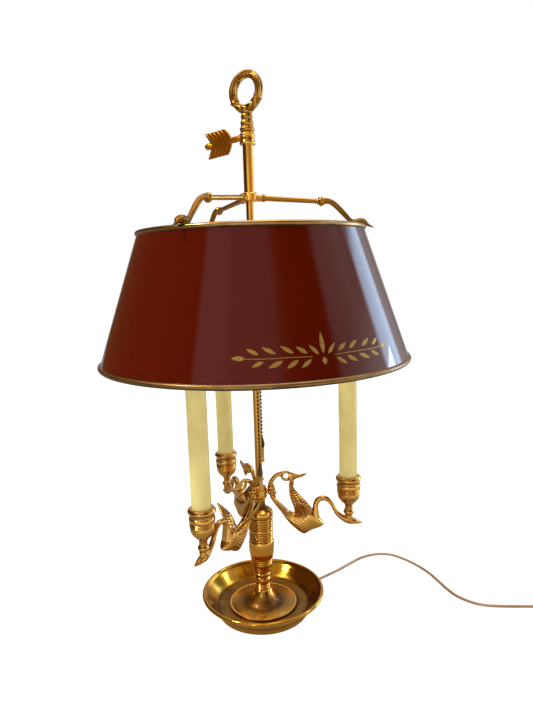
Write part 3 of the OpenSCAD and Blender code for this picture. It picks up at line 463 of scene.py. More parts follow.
def lofted(stations, steps=6, n=28, flutes=0, full=1):
    """Points and faces of a soft body in the XZ plane. A station is [upper x, upper z, lower x,
    lower z, half width, depth of flutes], and a full below 1 squares the section."""
    points = []
    for ux, uz, lx, lz, wide, depth in smooth(stations, steps):
        for a in circle(n):
            groove = 1 - max(depth, 0) * (0.5 - 0.5 * cos(flutes * a))
            c, s = (groove * squared(v, full) for v in (cos(a), sin(a)))
            points.append(((ux + lx) / 2 + c * (ux - lx) / 2, s * wide, (uz + lz) / 2 + c * (uz - lz) / 2))
    return skinned(points, n)


def moved(shape, matrix):
    return [matrix @ Vector(p) for p in shape[0]], shape[1]


def joined(*shapes):
    points, faces = [], []
    for more, rings in shapes:
        faces += [[i + len(points) for i in ring] for ring in rings]
        points += list(more)
    return points, faces


# %% Shapes to objects
def sharpened(mesh, degrees):
    mesh.shade_smooth()
    mesh.set_sharp_from_angle(angle=radians(degrees))


def solid(name, shape, sharp=38):
    """A mesh object from a closed shape in millimetres, with its faces turned outwards."""
    mesh = bpy.data.meshes.new(name)
    mesh.from_pydata([Vector(p) * mm for p in shape[0]], [], shape[1])
    work = bmesh.new()
    work.from_mesh(mesh)
    bmesh.ops.remove_doubles(work, verts=work.verts, dist=1e-7)
    bmesh.ops.recalc_face_normals(work, faces=work.faces)
    work.to_mesh(mesh)
    work.free()
    sharpened(mesh, sharp)
    return placed(name, mesh)


def settled(piece):
    """Turns what the object's modifiers make into its own mesh."""
    view = bpy.context.evaluated_depsgraph_get()
    view.update()
    mesh = bpy.data.meshes.new_from_object(piece.evaluated_get(view))
    piece.modifiers.clear()
    piece.data = mesh
    return piece


def fused(name, shape, voxel, rounds=2):
    """Fuses overlapping closed shapes to one skin, as in a casting."""
    piece = solid(name, shape)
    fuse = piece.modifiers.new("fuse", "REMESH")
    fuse.mode, fuse.voxel_size, fuse.use_smooth_shade = "VOXEL", voxel * mm, True
    ease = piece.modifiers.new("ease", "SMOOTH")
    ease.factor, ease.iterations = 0.5, rounds
    return settled(piece)


def around(mesh, values):
    """The mean of each vertex's neighbours, for an array with a row per vertex."""
    edges = np.empty(len(mesh.edges) * 2, np.int32)
    mesh.edges.foreach_get("vertices", edges)
    a, b = edges.reshape(-1, 2).T
    count = len(mesh.vertices)
    share = np.maximum(np.bincount(a, minlength=count) + np.bincount(b, minlength=count), 1)
    columns = [np.bincount(a, values[b, k], count) + np.bincount(b, values[a, k], count)
               for k in range(values.shape[1])]
    return np.stack(columns, 1) / share[:, None]


def corners(piece):
    """Where a piece's vertices lie, in millimetres."""
    place = np.empty(len(piece.data.vertices) * 3)
    piece.data.vertices.foreach_get("co", place)
    return place.reshape(-1, 3) / mm


def radii(piece):
    """How far a piece's vertices lie from the lamp's axis, in millimetres."""
    return np.hypot(*corners(piece).T[:2])


def facing(piece):
    out = np.empty(len(piece.data.vertices) * 3, np.float32)
    piece.data.vertex_normals.foreach_get("vector", out)
    return out.reshape(-1, 3)


def mark(piece, name, values):
    layer = piece.data.attributes.new(name, "FLOAT", "POINT")
    layer.data.foreach_set("value", np.clip(values, 0, 1).astype(np.float32))


def soiled(piece, depth, reach, extra=0):
    """Marks how deep each point lies in a groove, where tarnish stays when brass is rubbed. A
    groove of the given depth is full of it, and extra adds some anywhere."""
    place = corners(piece)
    spread = place
    for _ in range(reach):
        spread = around(piece.data, spread)
    hollow = ((spread - place) * facing(piece)).sum(1, keepdims=True) / depth
    for _ in range(2):
        hollow = 0.5 * hollow + 0.5 * around(piece.data, hollow)
    mark(piece, "recess", np.clip(hollow[:, 0], 0, 1) + extra)
    return piece


def softened(piece, width):
    """Rounds the sharp edges of a turned piece."""
    bevel = piece.modifiers.new("round", "BEVEL")
    bevel.width, bevel.segments, bevel.limit_method = width * mm, 2, "ANGLE"
    bevel.angle_limit = radians(40)
    bevel.use_clamp_overlap = True
    return piece


def dressed(piece, body, material, slot, *nodes):
    """Gives a piece its material and its body, and lets it stand for its nodes. The slot is not used."""
    piece.data.materials.clear()
    piece.data.materials.append(material)
    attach(piece, body)
    if nodes:
        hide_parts(*nodes)


def in_threes(piece, body, material, slot, node):
    """Dresses a piece whose name ends in 1, and two copies turned about the lamp's axis."""
    trio = [piece]
    for i in (1, 2):
        copy = piece.copy()
        copy.name = f"{piece.name[:-1]}{i + 1}"
        copy.data = piece.data.copy()
        copy.data.transform(put(degrees=120 * i))
        scene.collection.objects.link(copy)
        trio.append(copy)
    for i, one in enumerate(trio):
        dressed(one, body, material, slot, f"{node}_{i + 1}")


def painted(material, *nodes):
    """Gives carried-over nodes their material."""
    for node in nodes:
        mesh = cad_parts[node].data
        mesh.materials.clear()
        mesh.materials.append(material)


# %% [markdown]
# ## The flex
# The lamp's flex is a flat twin lead in clear gold plastic. It leaves the dish through a bushing,
# lies on the table in one loose bend, and its spare length is wound in a neat coil with the plug
# beside it. The centreline is one list of points: the way to the coil, eight turns that spiral in
# and out in three layers, and the short tail to the plug.

# %% The flex's way
flex_wide, flex_high = 4.4, 2.4
exit_turn = radians(42.4)
out = np.array([cos(exit_turn), sin(exit_turn), 0])
exit_point = 63.4 * out + [0, 0, 4.6]
route = [
    exit_point, exit_point + 4.6 * out - [0, 0, 0.3], (58, 53, 2.7), (68, 62.2, 1.4),
    *((x, y, 1.2) for x, y in [
        (79.5, 72.8), (103.6, 94.2), (126.5, 117.4), (137, 128), (149.5, 137), (162.5, 142.5),
        (175.5, 144.5), (188, 142), (199, 135), (209.5, 125.5), (219.5, 114), (228.5, 101), (237, 85.5),
        (244, 67), (250.5, 49), (258, 33), (266, 23), (275, 15.5), (284, 10.5), (294, 7.6), (305, 6.4),
        (318, 5.9), (331, 6), (344, 6.2), (358, 6.4), (371.9, 6.4)]),
]
plug_x, plug_z = 433, 6
tail = [(404.1, 6.4), (412, 5.8), (421, 2.6), (428.5, -3.6), (432.2, -10), (plug_x, -15)]
coil_x, coil_y, climb = 388, -22, 0.22
turns = [(28.4, 1.2), (24, 1.2), (19.6, 1.2), (19.6, 3.6), (24, 3.6), (28.4, 3.6), (24, 6), (28.4, 6)]
coil = []
for (r, z), (next_r, next_z) in zip(turns, turns[1:] + turns[-1:]):
    for k in range(36):
        t = max(0, (k / 36 - (1 - climb)) / climb)
        t = t * t * (3 - 2 * t)
        a = radians(90 - 10 * k)
        ring = r + (next_r - r) * t
        coil.append((coil_x + ring * cos(a), coil_y + ring * sin(a), z + (next_z - z) * t))
flex_path = np.array([*smooth(route, 4), *coil, (coil_x, 6.4, plug_z),
                      *smooth([(x, y, plug_z) for x, y in tail], 4)])
flex_run = travelled(flex_path)
print("flex, along its middle:", round(flex_run[-1]), "mm")

# %% The flex and its plug
lobe = flex_high / 2
centre = (flex_wide - flex_high) / 2
open_angle = pi - acos(centre / lobe)
half = arc(centre, 0, lobe, np.linspace(-open_angle, open_angle, 11)[:-1])
section = half + [(-x, -y) for x, y in half]
n = len(section)
points = [p + side * x + top * y for p, side, top in frames(flex_path) for x, y in section]
flex = solid("Flex", skinned(points, n), 60)
along = [(flex_run[loop.vertex_index // n] * mm, loop.vertex_index % n / n) for loop in flex.data.loops]
flex.data.uv_layers.new(name="UVMap").data.foreach_set("uv", np.array(along, np.float32).ravel())
dressed(flex, "root", flex_gold, "gold_flex", "cord_run", "cord_coil", "cord_tail")

grip = [
    (-14.9, 2.6, 2), (-15.2, 3.4, 3.2), (-20, 3.9, 3.6), (-20.6, 3.5, 3.3), (-22, 3.6, 3.4),
    (-22.6, 4.2, 3.9), (-26, 4.5, 4.1), (-26.6, 4, 3.8), (-28, 4.1, 3.9), (-28.6, 4.8, 4.4),
    (-33, 5.3, 4.8), (-35, 8.6, 5.4), (-37.5, 11.4, 5.7), (-40, 12, 5.8), (-44, 11.8, 5.6),
    (-45, 11.5, 5.2), (-46, 11.8, 5.6), (-49, 11.8, 5.6), (-50, 11.5, 5.2), (-51, 11.8, 5.6),
    (-56, 12, 5.8), (-58.6, 12, 5.8), (-59.2, 11.4, 5.2),
]
plug = solid("Plug", skinned([
    (plug_x + wide * squared(cos(a), 0.7), y, plug_z + high * squared(sin(a), 0.7))
    for y, wide, high in grip for a in circle(32)], 32), 50)
dressed(plug, "root", moulded, "gold_flex", "plug_body")
painted(contact_brass, "plug_blades")

# %% [markdown]
# ## The dish and the column
# The dish is spun brass, so its outline is a closed loop with the same wall all round and a rolled
# rim. The column above it is a stack of turned pieces, held together by a rod through their middles.

# %% Dish
rim = arc(78.1, 25.6, 2.2, np.radians(range(-60, 181, 16)))
rod_bore = 4.55
dish_outline = [
    (57.2, 1.6), (60.6, 1.6), (61.2, 2.2), (61.2, 4.4), (61.3, 6), (61.9, 8), (63.4, 9.5), (67.5, 14),
    (72, 19), (76, 23.5), *rim, (73.9, 23.4), (69.7, 19.4), (65.2, 14.6), (62, 11.2), (60, 9.2),
    (57.6, 8.6), (49, 8.6), (48.4, 8.9), (47.8, 8.6), (20, 8.6), (rod_bore, 8.6), (rod_bore, 6.2),
    (57.2, 6.2),
]
dish = softened(soiled(solid("Dish", spun(dish_outline, 192)), 0.9, 3), 0.2)
dressed(dish, "root", dish_brass, "dish_brass", "dish")
pad_outline = [(0, 0.05), (58.6, 0), (60.1, 0.5), (60.2, 1.3), (59.8, 1.6), (0, 1.6)]
pad = solid("BasePad", spun(pad_outline, 128))
dressed(pad, "root", felt, "base_felt", "base_pad")

# %% Column
foot = [
    (44.2, 8.6), (44.6, 9), (44.6, 9.9), (44.1, 10.45), (43.6, 10.5), (42.6, 10.5), (42.3, 10.3),
    (42, 10.5), (25.2, 10.5), (22.4, 12.2), (19.8, 14.4), (17.4, 17), (15, 20.6), (12.8, 24.2),
    (10.9, 28.2), (9.2, 29.4),
]
for i in range(3):
    foot += bead(8.6 - 0.1 * i, 29.4 + 2.2 * i, 2.2, 1.1, 8)
knop = [
    (8.2, 36), (8.2, 38.8), *bead(8.5, 39, 7, 2.1, 14), (9, 46.4), (9, 48.6), *bead(9.2, 48.8, 3.4, 1.5),
    (9.8, 52.6), (10.6, 56), (11.6, 59.6), (12.7, 63.4),
]
for i in range(3):
    knop += bead(12.8 + 0.3 * i, 63.6 + 2.8 * i, 2.8, 0.9, 8)
barrel = smooth([(14, 72), (14.9, 74.1), (15.6, 77.7), (16.2, 82.4), (16.6, 88.9), (16.6, 92.8), (16.2, 96.2),
                 (15.4, 98)], 3)
drum, z = [], 98
for high, out in [(3.6, 0.9), (2.4, 0.8), (3.4, 1), (2.2, 0.5), (4.6, 0.9), (2.6, 1), (2.4, 0.8), (3.4, 1),
                  (3, 0.5), (4.2, 1)]:
    drum += bead(14.8 + 0.014 * (z - 98), z, high, out, 9)
    z += high
drum += [(15.9, z + 0.5), (16.2, z + 1.2), (16.2, z + 6), (15.8, z + 6.8), (15.4, 137)]
neck = [
    (15.4, 137), (15.2, 137.8), (12.4, 139.6), (9.8, 141), (7.9, 142.8), (6.9, 145), (6.5, 147.5),
    (6.5, 150), (6.9, 152), (7.6, 154),
]
cap = [(8.2, 168), (8.8, 168.8), (8.4, 169.6), (6.8, 170.4), (5.8, 171.2)]
for name, outline, node, depth in [
        ("StemFoot", foot, "stem_foot", 0.22), ("StemKnop", knop, "stem_knop", 0.22),
        ("StemBarrel", barrel, "stem_barrel", 0.22), ("StemDrum", drum, "stem_drum", 0.14),
        ("StemNeck", neck, "stem_neck", 0.22), ("HubCap", cap, "hub_cap", 0.22)]:
    part = softened(soiled(solid(name, spun(outline, bore=rod_bore)), depth, 3), 0.12)
    dressed(part, "root", polished_brass, "polished_brass", node)
painted(rod_brass, "tie_rod", "centre_rod", "sleeve")
painted(polished_brass, "arm_hub")
painted(steel, "base_nut", "housing_nuts", "socket_nipples", "cup_screws")
painted(lead_weight, "weight")

# %% [markdown]
# ## The swan arms
# Each arm is one brass casting: a knuckle on the hub, a fluted tail that sweeps down into the
# swan's body, two raised wings, the neck that carries a candle cup on the swan's head, and a scroll
# with a leaf above the tail. Its parts are lofted or swept, fused by a voxel remesh, and then
# carved: every vertex of the body moves a little by a pattern of overlapping feathers.

# %% The swan's lines
hub_x, hub_z, reach = 9.2, 163, 114.5
body_line = [
    (8, -2.4, 4, -7.5, 3.4, 0.1), (14.3, -12.2, 10.3, -17.6, 4.4, 0.2),
    (21.9, -20.4, 17.8, -27.2, 5.8, 0.22), (29.5, -27.2, 25.3, -38.2, 7.2, 0.16),
    (38.3, -29.2, 34.4, -48.2, 8.4, 0.05), (48.3, -27, 46.4, -57, 9, 0), (58, -24.6, 57.2, -52, 8.4, 0),
    (66, -34, 67.4, -48.4, 6.4, 0), (70.6, -39.6, 71.4, -46, 4, 0), (73, -42.6, 73.2, -44.2, 1.2, 0),
]
neck_line = [
    (54.6, -35, 69, -41, 7.6, 0), (58.2, -24.6, 66.8, -28.8, 6, 0), (60.2, -15.4, 66.2, -20.6, 4.6, 0),
    (63.8, -9.4, 68, -15, 4, 0), (71.3, -6.4, 72.6, -12.9, 3.8, 0), (79.6, -8.4, 77.4, -14.2, 3.5, 0),
    (86.5, -17.2, 82.6, -20.4, 3.3, 0), (91.4, -26, 87, -29.8, 3.3, 0), (97.6, -32, 93.4, -37.4, 3.6, 0),
    (104, -34, 103.4, -43.8, 5, 0), (112, -36.6, 113, -44.2, 4.2, 0), (117.4, -39.6, 118.6, -44, 2.6, 0),
    (122.6, -41.9, 122.8, -42.7, 0.6, 0),
]
scroll_line = [
    (1, 4, 5.8, 3, 2.6, 0), (2.6, 12, 7.8, 10, 2.8, 0), (7, 19.4, 11.6, 16.2, 3, 0),
    (13, 24.4, 15.6, 19.8, 3, 0), (20.4, 26.8, 21, 20.8, 3, 0),
]
leaf_line = [
    (28.4, 26.4, 28.6, 14, 3.2, 0.1), (33, 25.4, 33, 12.8, 4.4, 0.2), (38.4, 23.4, 38, 16.6, 4, 0.2),
    (43.6, 22.7, 43.8, 18.4, 3, 0.2), (48.2, 23.8, 48.4, 20.2, 2, 0.1), (52.6, 24.4, 52.4, 23.2, 0.7, 0),
]
far_wing = [(57, 7, -27), (48.1, 13, -18.3), (41.7, 18, -12.8), (35.2, 22, -6.4), (29.8, 27, 4)]
far_edge = [(38.2, 4.8, -29.8), (33.4, 11.5, -20.6), (30.4, 17, -14), (29, 22.5, -6.6), (29, 26.6, 2.8)]
near_wing = [(56, -6, -26.4), (51, -12.5, -16.6), (47.4, -19, -10.6), (44, -25.6, -6.4), (41, -30.4, -4)]
near_edge = [(37.6, -5.5, -30), (36.8, -10.4, -21), (37, -16.5, -14.2), (38, -23, -9.4), (40.2, -30, -4.8)]


# %% Wings and eyes
def wing(lead, trail, feather=3.7, n=56):
    """A raised wing: a blade between its thick edge by the neck and its thin edge by the tail. Two
    rows of feathers lie across it as ridges, and their ends notch the thin edge."""
    rows = smooth([(*a, *b) for a, b in zip(lead, trail)], 14)
    run = travelled((rows[:, :3] + rows[:, 3:]) / 2) / feather
    points, last = [], len(rows) - 1
    for i, row in enumerate(rows):
        t = i / last
        near, chord = Vector(row[:3]), Vector(row[3:] - row[:3])
        ahead = rows[min(i + 1, last)] - rows[max(i - 1, 0)]
        across = chord.cross(Vector(ahead[:3] + ahead[3:])).normalized()
        thick, thin = 2.3 - 1.4 * t, 1.15 - 0.3 * t
        notch = 0.9 * abs(sin(pi * run[i])) * (1 - t)
        for a in circle(n):
            u, s = 0.5 - 0.5 * cos(a), abs(sin(a))
            row_at = run[i] + 0.9 * u + (0.5 if u > 0.56 else 0)
            ridge = 0.75 * (abs(sin(pi * row_at)) ** 0.7 - 0.45)
            ridge *= min(1, 6 * u * (1.05 - u)) * (1 - 0.6 * t)
            ridge += 0.35 if 0.5 < u < 0.56 else 0
            half = (thick + (thin - thick) * u) * s ** 0.55 + (ridge if s > 0.3 else 0)
            along = chord.normalized() * (-0.8 * thick + (chord.length + 0.8 * thick + thin + notch) * u)
            points.append(near + along + across * copysign(half, sin(a)))
    return skinned(points, n)


def eyes(outline, steps, x, y, z):
    """A bird's two eyes."""
    return [moved(spun(outline, steps), put((x, side * y, z), 90, "X")) for side in (1, -1)]


# %% Swan arm
along_x = put(degrees=90, axis="Y")
peg = [(0, -4), (2.5, -4), (2.5, 2.5), (3.8, 2.5), (3.8, 3.9), (3, 4.7), (3, 6), (0, 6)]
stack = [
    (0, -8), (3, -8), *bead(3, -7.6, 4.2, 0.9, 8), *bead(4.3, -3.3, 4.6, 1.4, 12),
    *arc(0, 6.5, 5.2, np.linspace(-0.66, pi / 2, 12)[:-1]), (0, 11.7),
]
loop = arc(5.3, 0, 1.9, circle(13))
socket = [(0, -41), (3.6, -41), (4.6, -39.6), (5.1, -37), (5.1, -33.5), (0, -33.5)]
drop = swept([(31, 0, 19), (31.8, 0, 16.4), (33.2, 0, 13.4), (33.9, 0, 10.6), (34.1, 0, 7.4)],
             [(4, 2), (5, 3), (4.2, 2.6), (2.6, 1.8), (0.9, 0.9)], n=28, flutes=7, depth=0.25)
arm = fused("SwanArm1", moved(joined(
    lofted(body_line, 6, 48, 7, 0.8), lofted(neck_line, 6, 24), lofted(scroll_line, 6, 20),
    lofted(leaf_line, 6, 36, 8),
    moved(spun(peg, 32), along_x), moved(spun(stack, 40), put((7.2, 0, -1.2), -9.5, "Y")),
    moved(spun(loop, 32), put((25.5, 0, 20.6), 90, "X")), drop,
    *eyes([(0, -1.1), (0.8, -0.8), (1.15, 0), (0.8, 0.8), (0, 1.1)], 16, 105.6, 4.5, -38.2),
    moved(spun(socket, 32), put((reach - hub_x, 0, 0))),
    wing(far_wing, far_edge), wing(near_wing, near_edge)), put((hub_x, 0, hub_z))), 0.48, 1)


def plumed(piece, high=3.4, wide=3.6):
    """Carves overlapping feathers into the swan's body, between the tail and the breast."""
    place = corners(piece)
    x, y, z = place[:, 0] - hub_x, place[:, 1], place[:, 2] - hub_z
    row = ((x - 20) * 0.62 - (z + 30) * 0.78) / high
    step = np.floor(row)
    shift = ((x - 20) * 0.78 + (z + 30) * 0.62) / wide + 0.5 * (step % 2)
    scale = (row - step) - 0.55 * (2 * np.abs(shift - np.floor(shift) - 0.5)) ** 2
    within = np.clip((x - 30) / 5, 0, 1) * np.clip((57 - x) / 7, 0, 1)
    within *= (z < -28) * np.clip((np.abs(y) - 3) / 2, 0, 1)
    carve = 0.5 * (np.clip(scale, -0.4, 1) - 0.35) * within
    carved = (place + facing(piece) * carve[:, None]) * mm
    piece.data.vertices.foreach_set("co", carved.astype(np.float32).ravel())
    piece.data.update()
    return piece


in_threes(soiled(plumed(arm), 0.22, 5), "root", cast_brass, "cast_brass", "swan_arm")
print("swan arm:", len(arm.data.polygons), "faces")

# %% [markdown]
# ## Cups and candles
# A cup is turned like the column, and hollow for the candle. The candles are wax, a little soft at
# the top edge, where a shallow pool has melted round the wick.

# %% Cups
cup_outline = [
    (1.75, 0), (5.1, 0), (5.1, 1), (4.6, 1.8), *bead(4.5, 2, 8.2, 2.3, 14), (4.9, 10.6),
    *smooth([(4.8, 14), (5.5, 15.7), (6.8, 17.5), (9.6, 20.4), (12, 23.3), (13.4, 26.1), (14, 28.3),
             (14.1, 31.8)], 3),
    *(point for k in range(3) for point in bead(13.9, 32.2 + 1.8 * k, 1.8, 0.8, 8)),
    *smooth([(13.9, 37.8), (14.9, 38.8), (15.2, 41), (14.9, 43.2), (13.9, 44.2)], 3),
    (13.8, 44.6), (13.8, 46.9), *bead(14.2, 47.3, 7.2, 2.1, 12), (11.7, 54.5), (11.7, 26.5), (3.5, 26.5),
    (3.5, 23.5), (1.75, 23.5),
]
cup = solid("CandleCup1", moved(spun(cup_outline), put((reach, 0, 129.5))))
in_threes(softened(soiled(cup, 0.5, 3), 0.12), "root", cast_brass, "cast_brass", "candle_cup")
stick = [
    (0, 0), (11, 0), (11.4, 0.4), *((11.4 - 0.05 * sin(k * 1.7), 8 + 15.6 * k) for k in range(13)),
    (11.4, 213.6), (11.2, 215.2), (10.6, 216.2), (9.6, 216.5), (7.5, 216), (4, 214.8), (1, 214.2),
    (1, 212.5), (0, 212.5),
]
candle = solid("Candle1", moved(spun(stick, 72), put((reach, 0, 156))))
in_threes(candle, "root", wax, "candle_wax", "candle")
strands = []
for k in range(3):
    lay = [2 * pi * (k / 3 + i / 9) for i in range(22)]
    path = [(reach + 0.42 * cos(a), 0.42 * sin(a), 368.6 + 0.57 * i) for i, a in enumerate(lay)]
    strands.append(swept(path, [(0.45, 0.45)] * len(path), (1, 0, 0.2), 8))
wicks = solid("Wicks", joined(*(moved(joined(*strands), put(degrees=turn)) for turn in (0, 120, 240))))
dressed(wicks, "root", cotton, "wick_cotton", "wicks")

# %% [markdown]
# ## The shade's carrier
# The collar slides on the rod and is held by a screw, whose head is an arrow's fletching. Under it,
# three brass arms reach out to the shade's rim, and each ends in a bird's neck and head that bites
# over the edge. Quills on the vanes and flutes on the necks are fused in before the remesh.

# %% Collar and key
lower = [
    (7.5, 597), (9.2, 597), (9, 597.8), (8.6, 598.6), (8.6, 602.4), *bead(8.4, 602.6, 4.2, 0.9),
    (7.6, 607), (4.6, 607), (4.6, 597.7), (7.5, 597.7),
]
collar = softened(soiled(solid("SlideCollar", spun(lower)), 0.2, 3), 0.12)
dressed(collar, "collar", polished_brass, "polished_brass", "slide_collar")
band = [(6.3, 594), *bead(9.25, 594, 3, 0.4, 8), (7.5, 597), (7.5, 595.5), (6.3, 595.5)]
collar_ring = softened(solid("CollarRing", spun(band)), 0.12)
dressed(collar_ring, "collar", polished_brass, "polished_brass", "collar_ring")

key_turn, ring_turn, key_z = 138, 147, 603.7
shaft = [
    (0, 4.8), (1.9, 4.8), (1.9, 9.8), (2.6, 9.85), (3.4, 10.65), (3.2, 11.8), *bead(3.2, 12, 3, 0.9, 8),
    (3.4, 16), (3.7, 21), (3.6, 26), (2.6, 31), (1.2, 37), (0.9, 45), (0.9, 64), (3.7, 69.5), (4.3, 73),
    (3.8, 76), (2.2, 78.8), (0, 79.5),
]
vane = [(28, -1), (29, 4), (33, 10.2), (38, 15), (76.5, 15.4), (68.7, 4.4), (68.7, -1)]
fletching = []
for side in (1, -1):
    fletching.append(skinned([(x, side * z, y) for y in (-1.1, 1.1) for x, z in vane], len(vane)))
    for x in (38 + 7.2 * k for k in range(5)):
        rib = np.linspace(0, 1, 9)
        fletching.append(swept([(x + 7 * t * t, side * (3.4 + 11 * t), 0) for t in rib],
                               [(0.42 + 0.24 * t, 1.4 + 0.35 * t) for t in rib]))
key_shape = joined(moved(spun(shaft, 32), along_x), *fletching)
key = fused("ArrowKey", moved(key_shape, put((0, 0, key_z), 90 - 8, "X")), 0.3, 3)
key.data.transform(put(degrees=key_turn))
dressed(soiled(key, 0.7, 3), "key", key_brass, "cast_brass", "arrow_key")

# %% Spider
top_mid = (134.9, 492.9)
spider_mid, boss_end, spider_turn = 532.1, 15, 4
knuckle_at = (top_mid[0] - 48.9, top_mid[1] + 33.1)


def rod_station(t, r):
    x = boss_end + t * (knuckle_at[0] - boss_end)
    z = spider_mid + t * (knuckle_at[1] - spider_mid)
    return (x, z + r, x, z - r, r, 0)


rod_line = [rod_station(t, r) for t, r in [
    (0, 4.2), (0.03, 4.6), (0.06, 3.2), (0.08, 3.2), (0.3, 3.1), (0.5, 3), (0.88, 2.8), (0.9, 3.1),
    (0.93, 3.1), (0.955, 4.2), (0.98, 5.5), (1.01, 5.5), (1.035, 4.4), (1.05, 3.2)]]
neck_bits = [
    (-48.5, 37.4, -47.6, 29, 4, 0), (-41.5, 37, -41.4, 30, 3.8, 0.1), (-33.4, 33.6, -37, 28, 3.9, 0.16),
    (-26.2, 27.4, -31, 22.8, 3.7, 0.18), (-19.2, 19.8, -24, 15.6, 3.4, 0.16),
    (-13.6, 13, -18, 9.4, 3.3, 0.1), (-9.6, 11, -12.6, 3.8, 4.2, 0), (-4.4, 12.2, -6.4, 3.1, 5.6, 0),
    (1, 12, -0.6, 3.1, 6, 0), (5, 9.4, 3.6, 3.1, 4.8, 0), (8, 5.6, 6.8, 2.2, 2.6, 0),
    (11.6, 2.8, 11, 1, 1.2, 0), (15, 1, 14.8, 0.2, 0.5, 0),
]
bird_line = np.array(neck_bits) + [*top_mid, *top_mid, 0, 0]
pin = [(0, 7.6), (2.5, 7.6), (2.5, 15.5), (0, 15.5)]
spider = fused("SpiderArm1", joined(
    lofted(rod_line, 3, 24), lofted(bird_line, 8, 40, 8),
    moved(spun(pin, 24), put((0, 0, spider_mid)) @ along_x),
    *eyes([(0, -1), (0.8, -0.7), (1.1, 0), (0.8, 0.7), (0, 1)], 14, top_mid[0] + 1.6, 5.3, top_mid[1] + 8.6)),
    0.42, 1)
spider.data.transform(put(degrees=spider_turn))
on_bird = np.clip((radii(spider) - knuckle_at[0]) / 6, 0, 1)
on_head = np.clip((radii(spider) - top_mid[0] + 22) / 8, 0, 1)
soiled(spider, 0.25, 5, 0.3 * on_bird + 0.35 * on_head)
in_threes(spider, "shade", old_brass, "cast_brass", "spider_arm")
painted(polished_brass, "spider_hub")
print("spider arm:", len(spider.data.polygons), "faces")

# %% [markdown]
# ## The finial
# A beaded neck carries a ring wreathed like a laurel garland: cross ribs over the crown, flutes at
# the sides, and a leafy fork at the foot. One grid of vertices round a circle does it, with the
# ornament as a change of the tube's radius from place to place.

# %% Finial
neck_outline = [
    (7.4, 607.3), (7.4, 607.9), *bead(7.2, 608.1, 6.4, 1.6, 12), *bead(6.4, 614.7, 7, 1.3, 12),
    *bead(5.8, 621.9, 7, 1.2, 12), (6.2, 629.4), (6.8, 630.4), (6.9, 631.6), (6, 632.4), (0, 632.4),
    (0, 619.6), (rod_bore, 619.6), (rod_bore, 607.3),
]
points, faces = spun(neck_outline)
for i, (x, y, z) in enumerate(points):
    r, a = hypot(x, y), atan2(y, x)
    if r > 5.6 and z > 608:
        k = 1 + 0.012 * cos(14 * a) * sin(pi * min(max((z - 608) / 21, 0), 1))
        points[i] = (x * k, y * k, z)
finial_neck = softened(soiled(solid("FinialNeck", (points, faces)), 0.3, 4), 0.1)
dressed(finial_neck, "root", old_brass, "cast_brass", "finial_neck")

ring_r, tube_r, ring_z, steps, n = 19.2, 4.1, 654, 420, 56
outer_r = ring_r + tube_r
points = []
for i, a in enumerate(circle(steps)):
    a -= pi / 2
    t = 180 - abs(180 - 360 * i / steps)
    fork = min((outer_r - 0.4) / cos(radians(t - 42.3)) - outer_r, 1.3) if t < 61 else 0
    for b in circle(n):
        lump = 0
        if t > 146:
            lump = 1.25 * abs(sin(radians(180 - t) * 19 + 0.4 * sin(b))) - 0.6
        elif t > 66:
            lump = 1.1 * abs(sin(3 * b + 0.5 * sin(radians(t) * 3))) - 0.6
        elif t < 61:
            lump = 0.9 * abs(sin(radians(t * 6.5) + 1.4 * cos(b * 2))) - 0.3
        if 58 < t < 64:
            lump += 0.5
        r = tube_r + lump
        x = ring_r + r * cos(b) + fork * max(cos(b), 0)
        points.append((x * cos(a), r * sin(b) * 1.3, x * sin(a)))
wreath = solid("FinialRing", moved(skinned(points, n, closed=True), put((0, 0, ring_z), ring_turn)), 60)
dressed(soiled(wreath, 0.25, 4), "root", old_brass, "cast_brass", "finial_ring")

# %% [markdown]
# ## The shade
# The sheet is one closed shell of revolution. Two point attributes tell the lacquer where it is:
# inside marks the cream enamel of the inner face, and worn marks the bands by the rolled rims,
# where the lacquer chips first. The rims are rolled brass.

# %% Shade sheet and rims
low_mid = (187, 339.5)
narrowing, shade_high, rows = top_mid[0] - low_mid[0], top_mid[1] - low_mid[1], 48
outer = [(low_mid[0] + narrowing * i / rows + 0.5, low_mid[1] + shade_high * i / rows)
         for i in range(rows + 1)]
inner = [(r - 1, z) for r, z in reversed(outer)]
sheet = solid("ShadeSheet", spun(outer + inner, 320), 50)
height = (corners(sheet)[:, 2] - low_mid[1]) / shade_high
mark(sheet, "inside", (radii(sheet) < low_mid[0] + narrowing * height).astype(float))
mark(sheet, "worn", np.maximum(1 - height * 12, 1 - (1 - height) * 14))
dressed(sheet, "shade", lacquer, "shade_lacquer", "shade_shell")
# Each roll has two thin dark lines round it, and the low roll is darker all over.
for name, (r, z), node, added_dark in [("ShadeLowRim", low_mid, "shade_low_rim", 0.45),
                                  ("ShadeTopRim", top_mid, "shade_top_rim", 0)]:
    roll = solid(name, spun(arc(r, z, 3, circle(24)), 320), 60)
    round_roll = np.arctan2(corners(roll)[:, 2] - z, radii(roll) - r)
    mark(roll, "recess", np.abs(np.sin(round_roll - 0.9)) ** 24 + added_dark)
    dressed(roll, "shade", gilt_roll, "gilt_roll", node)

# %% [markdown]
# ## The laurel spray
# The gold spray is stencilled on the lacquer, so it is thinner than a sheet of paper. A node tree
# sets a flat leaf at each point of a small plan, with the point's own turn, length and width, and
# then bends the whole plan onto the cone: across becomes an angle, and up becomes a height.

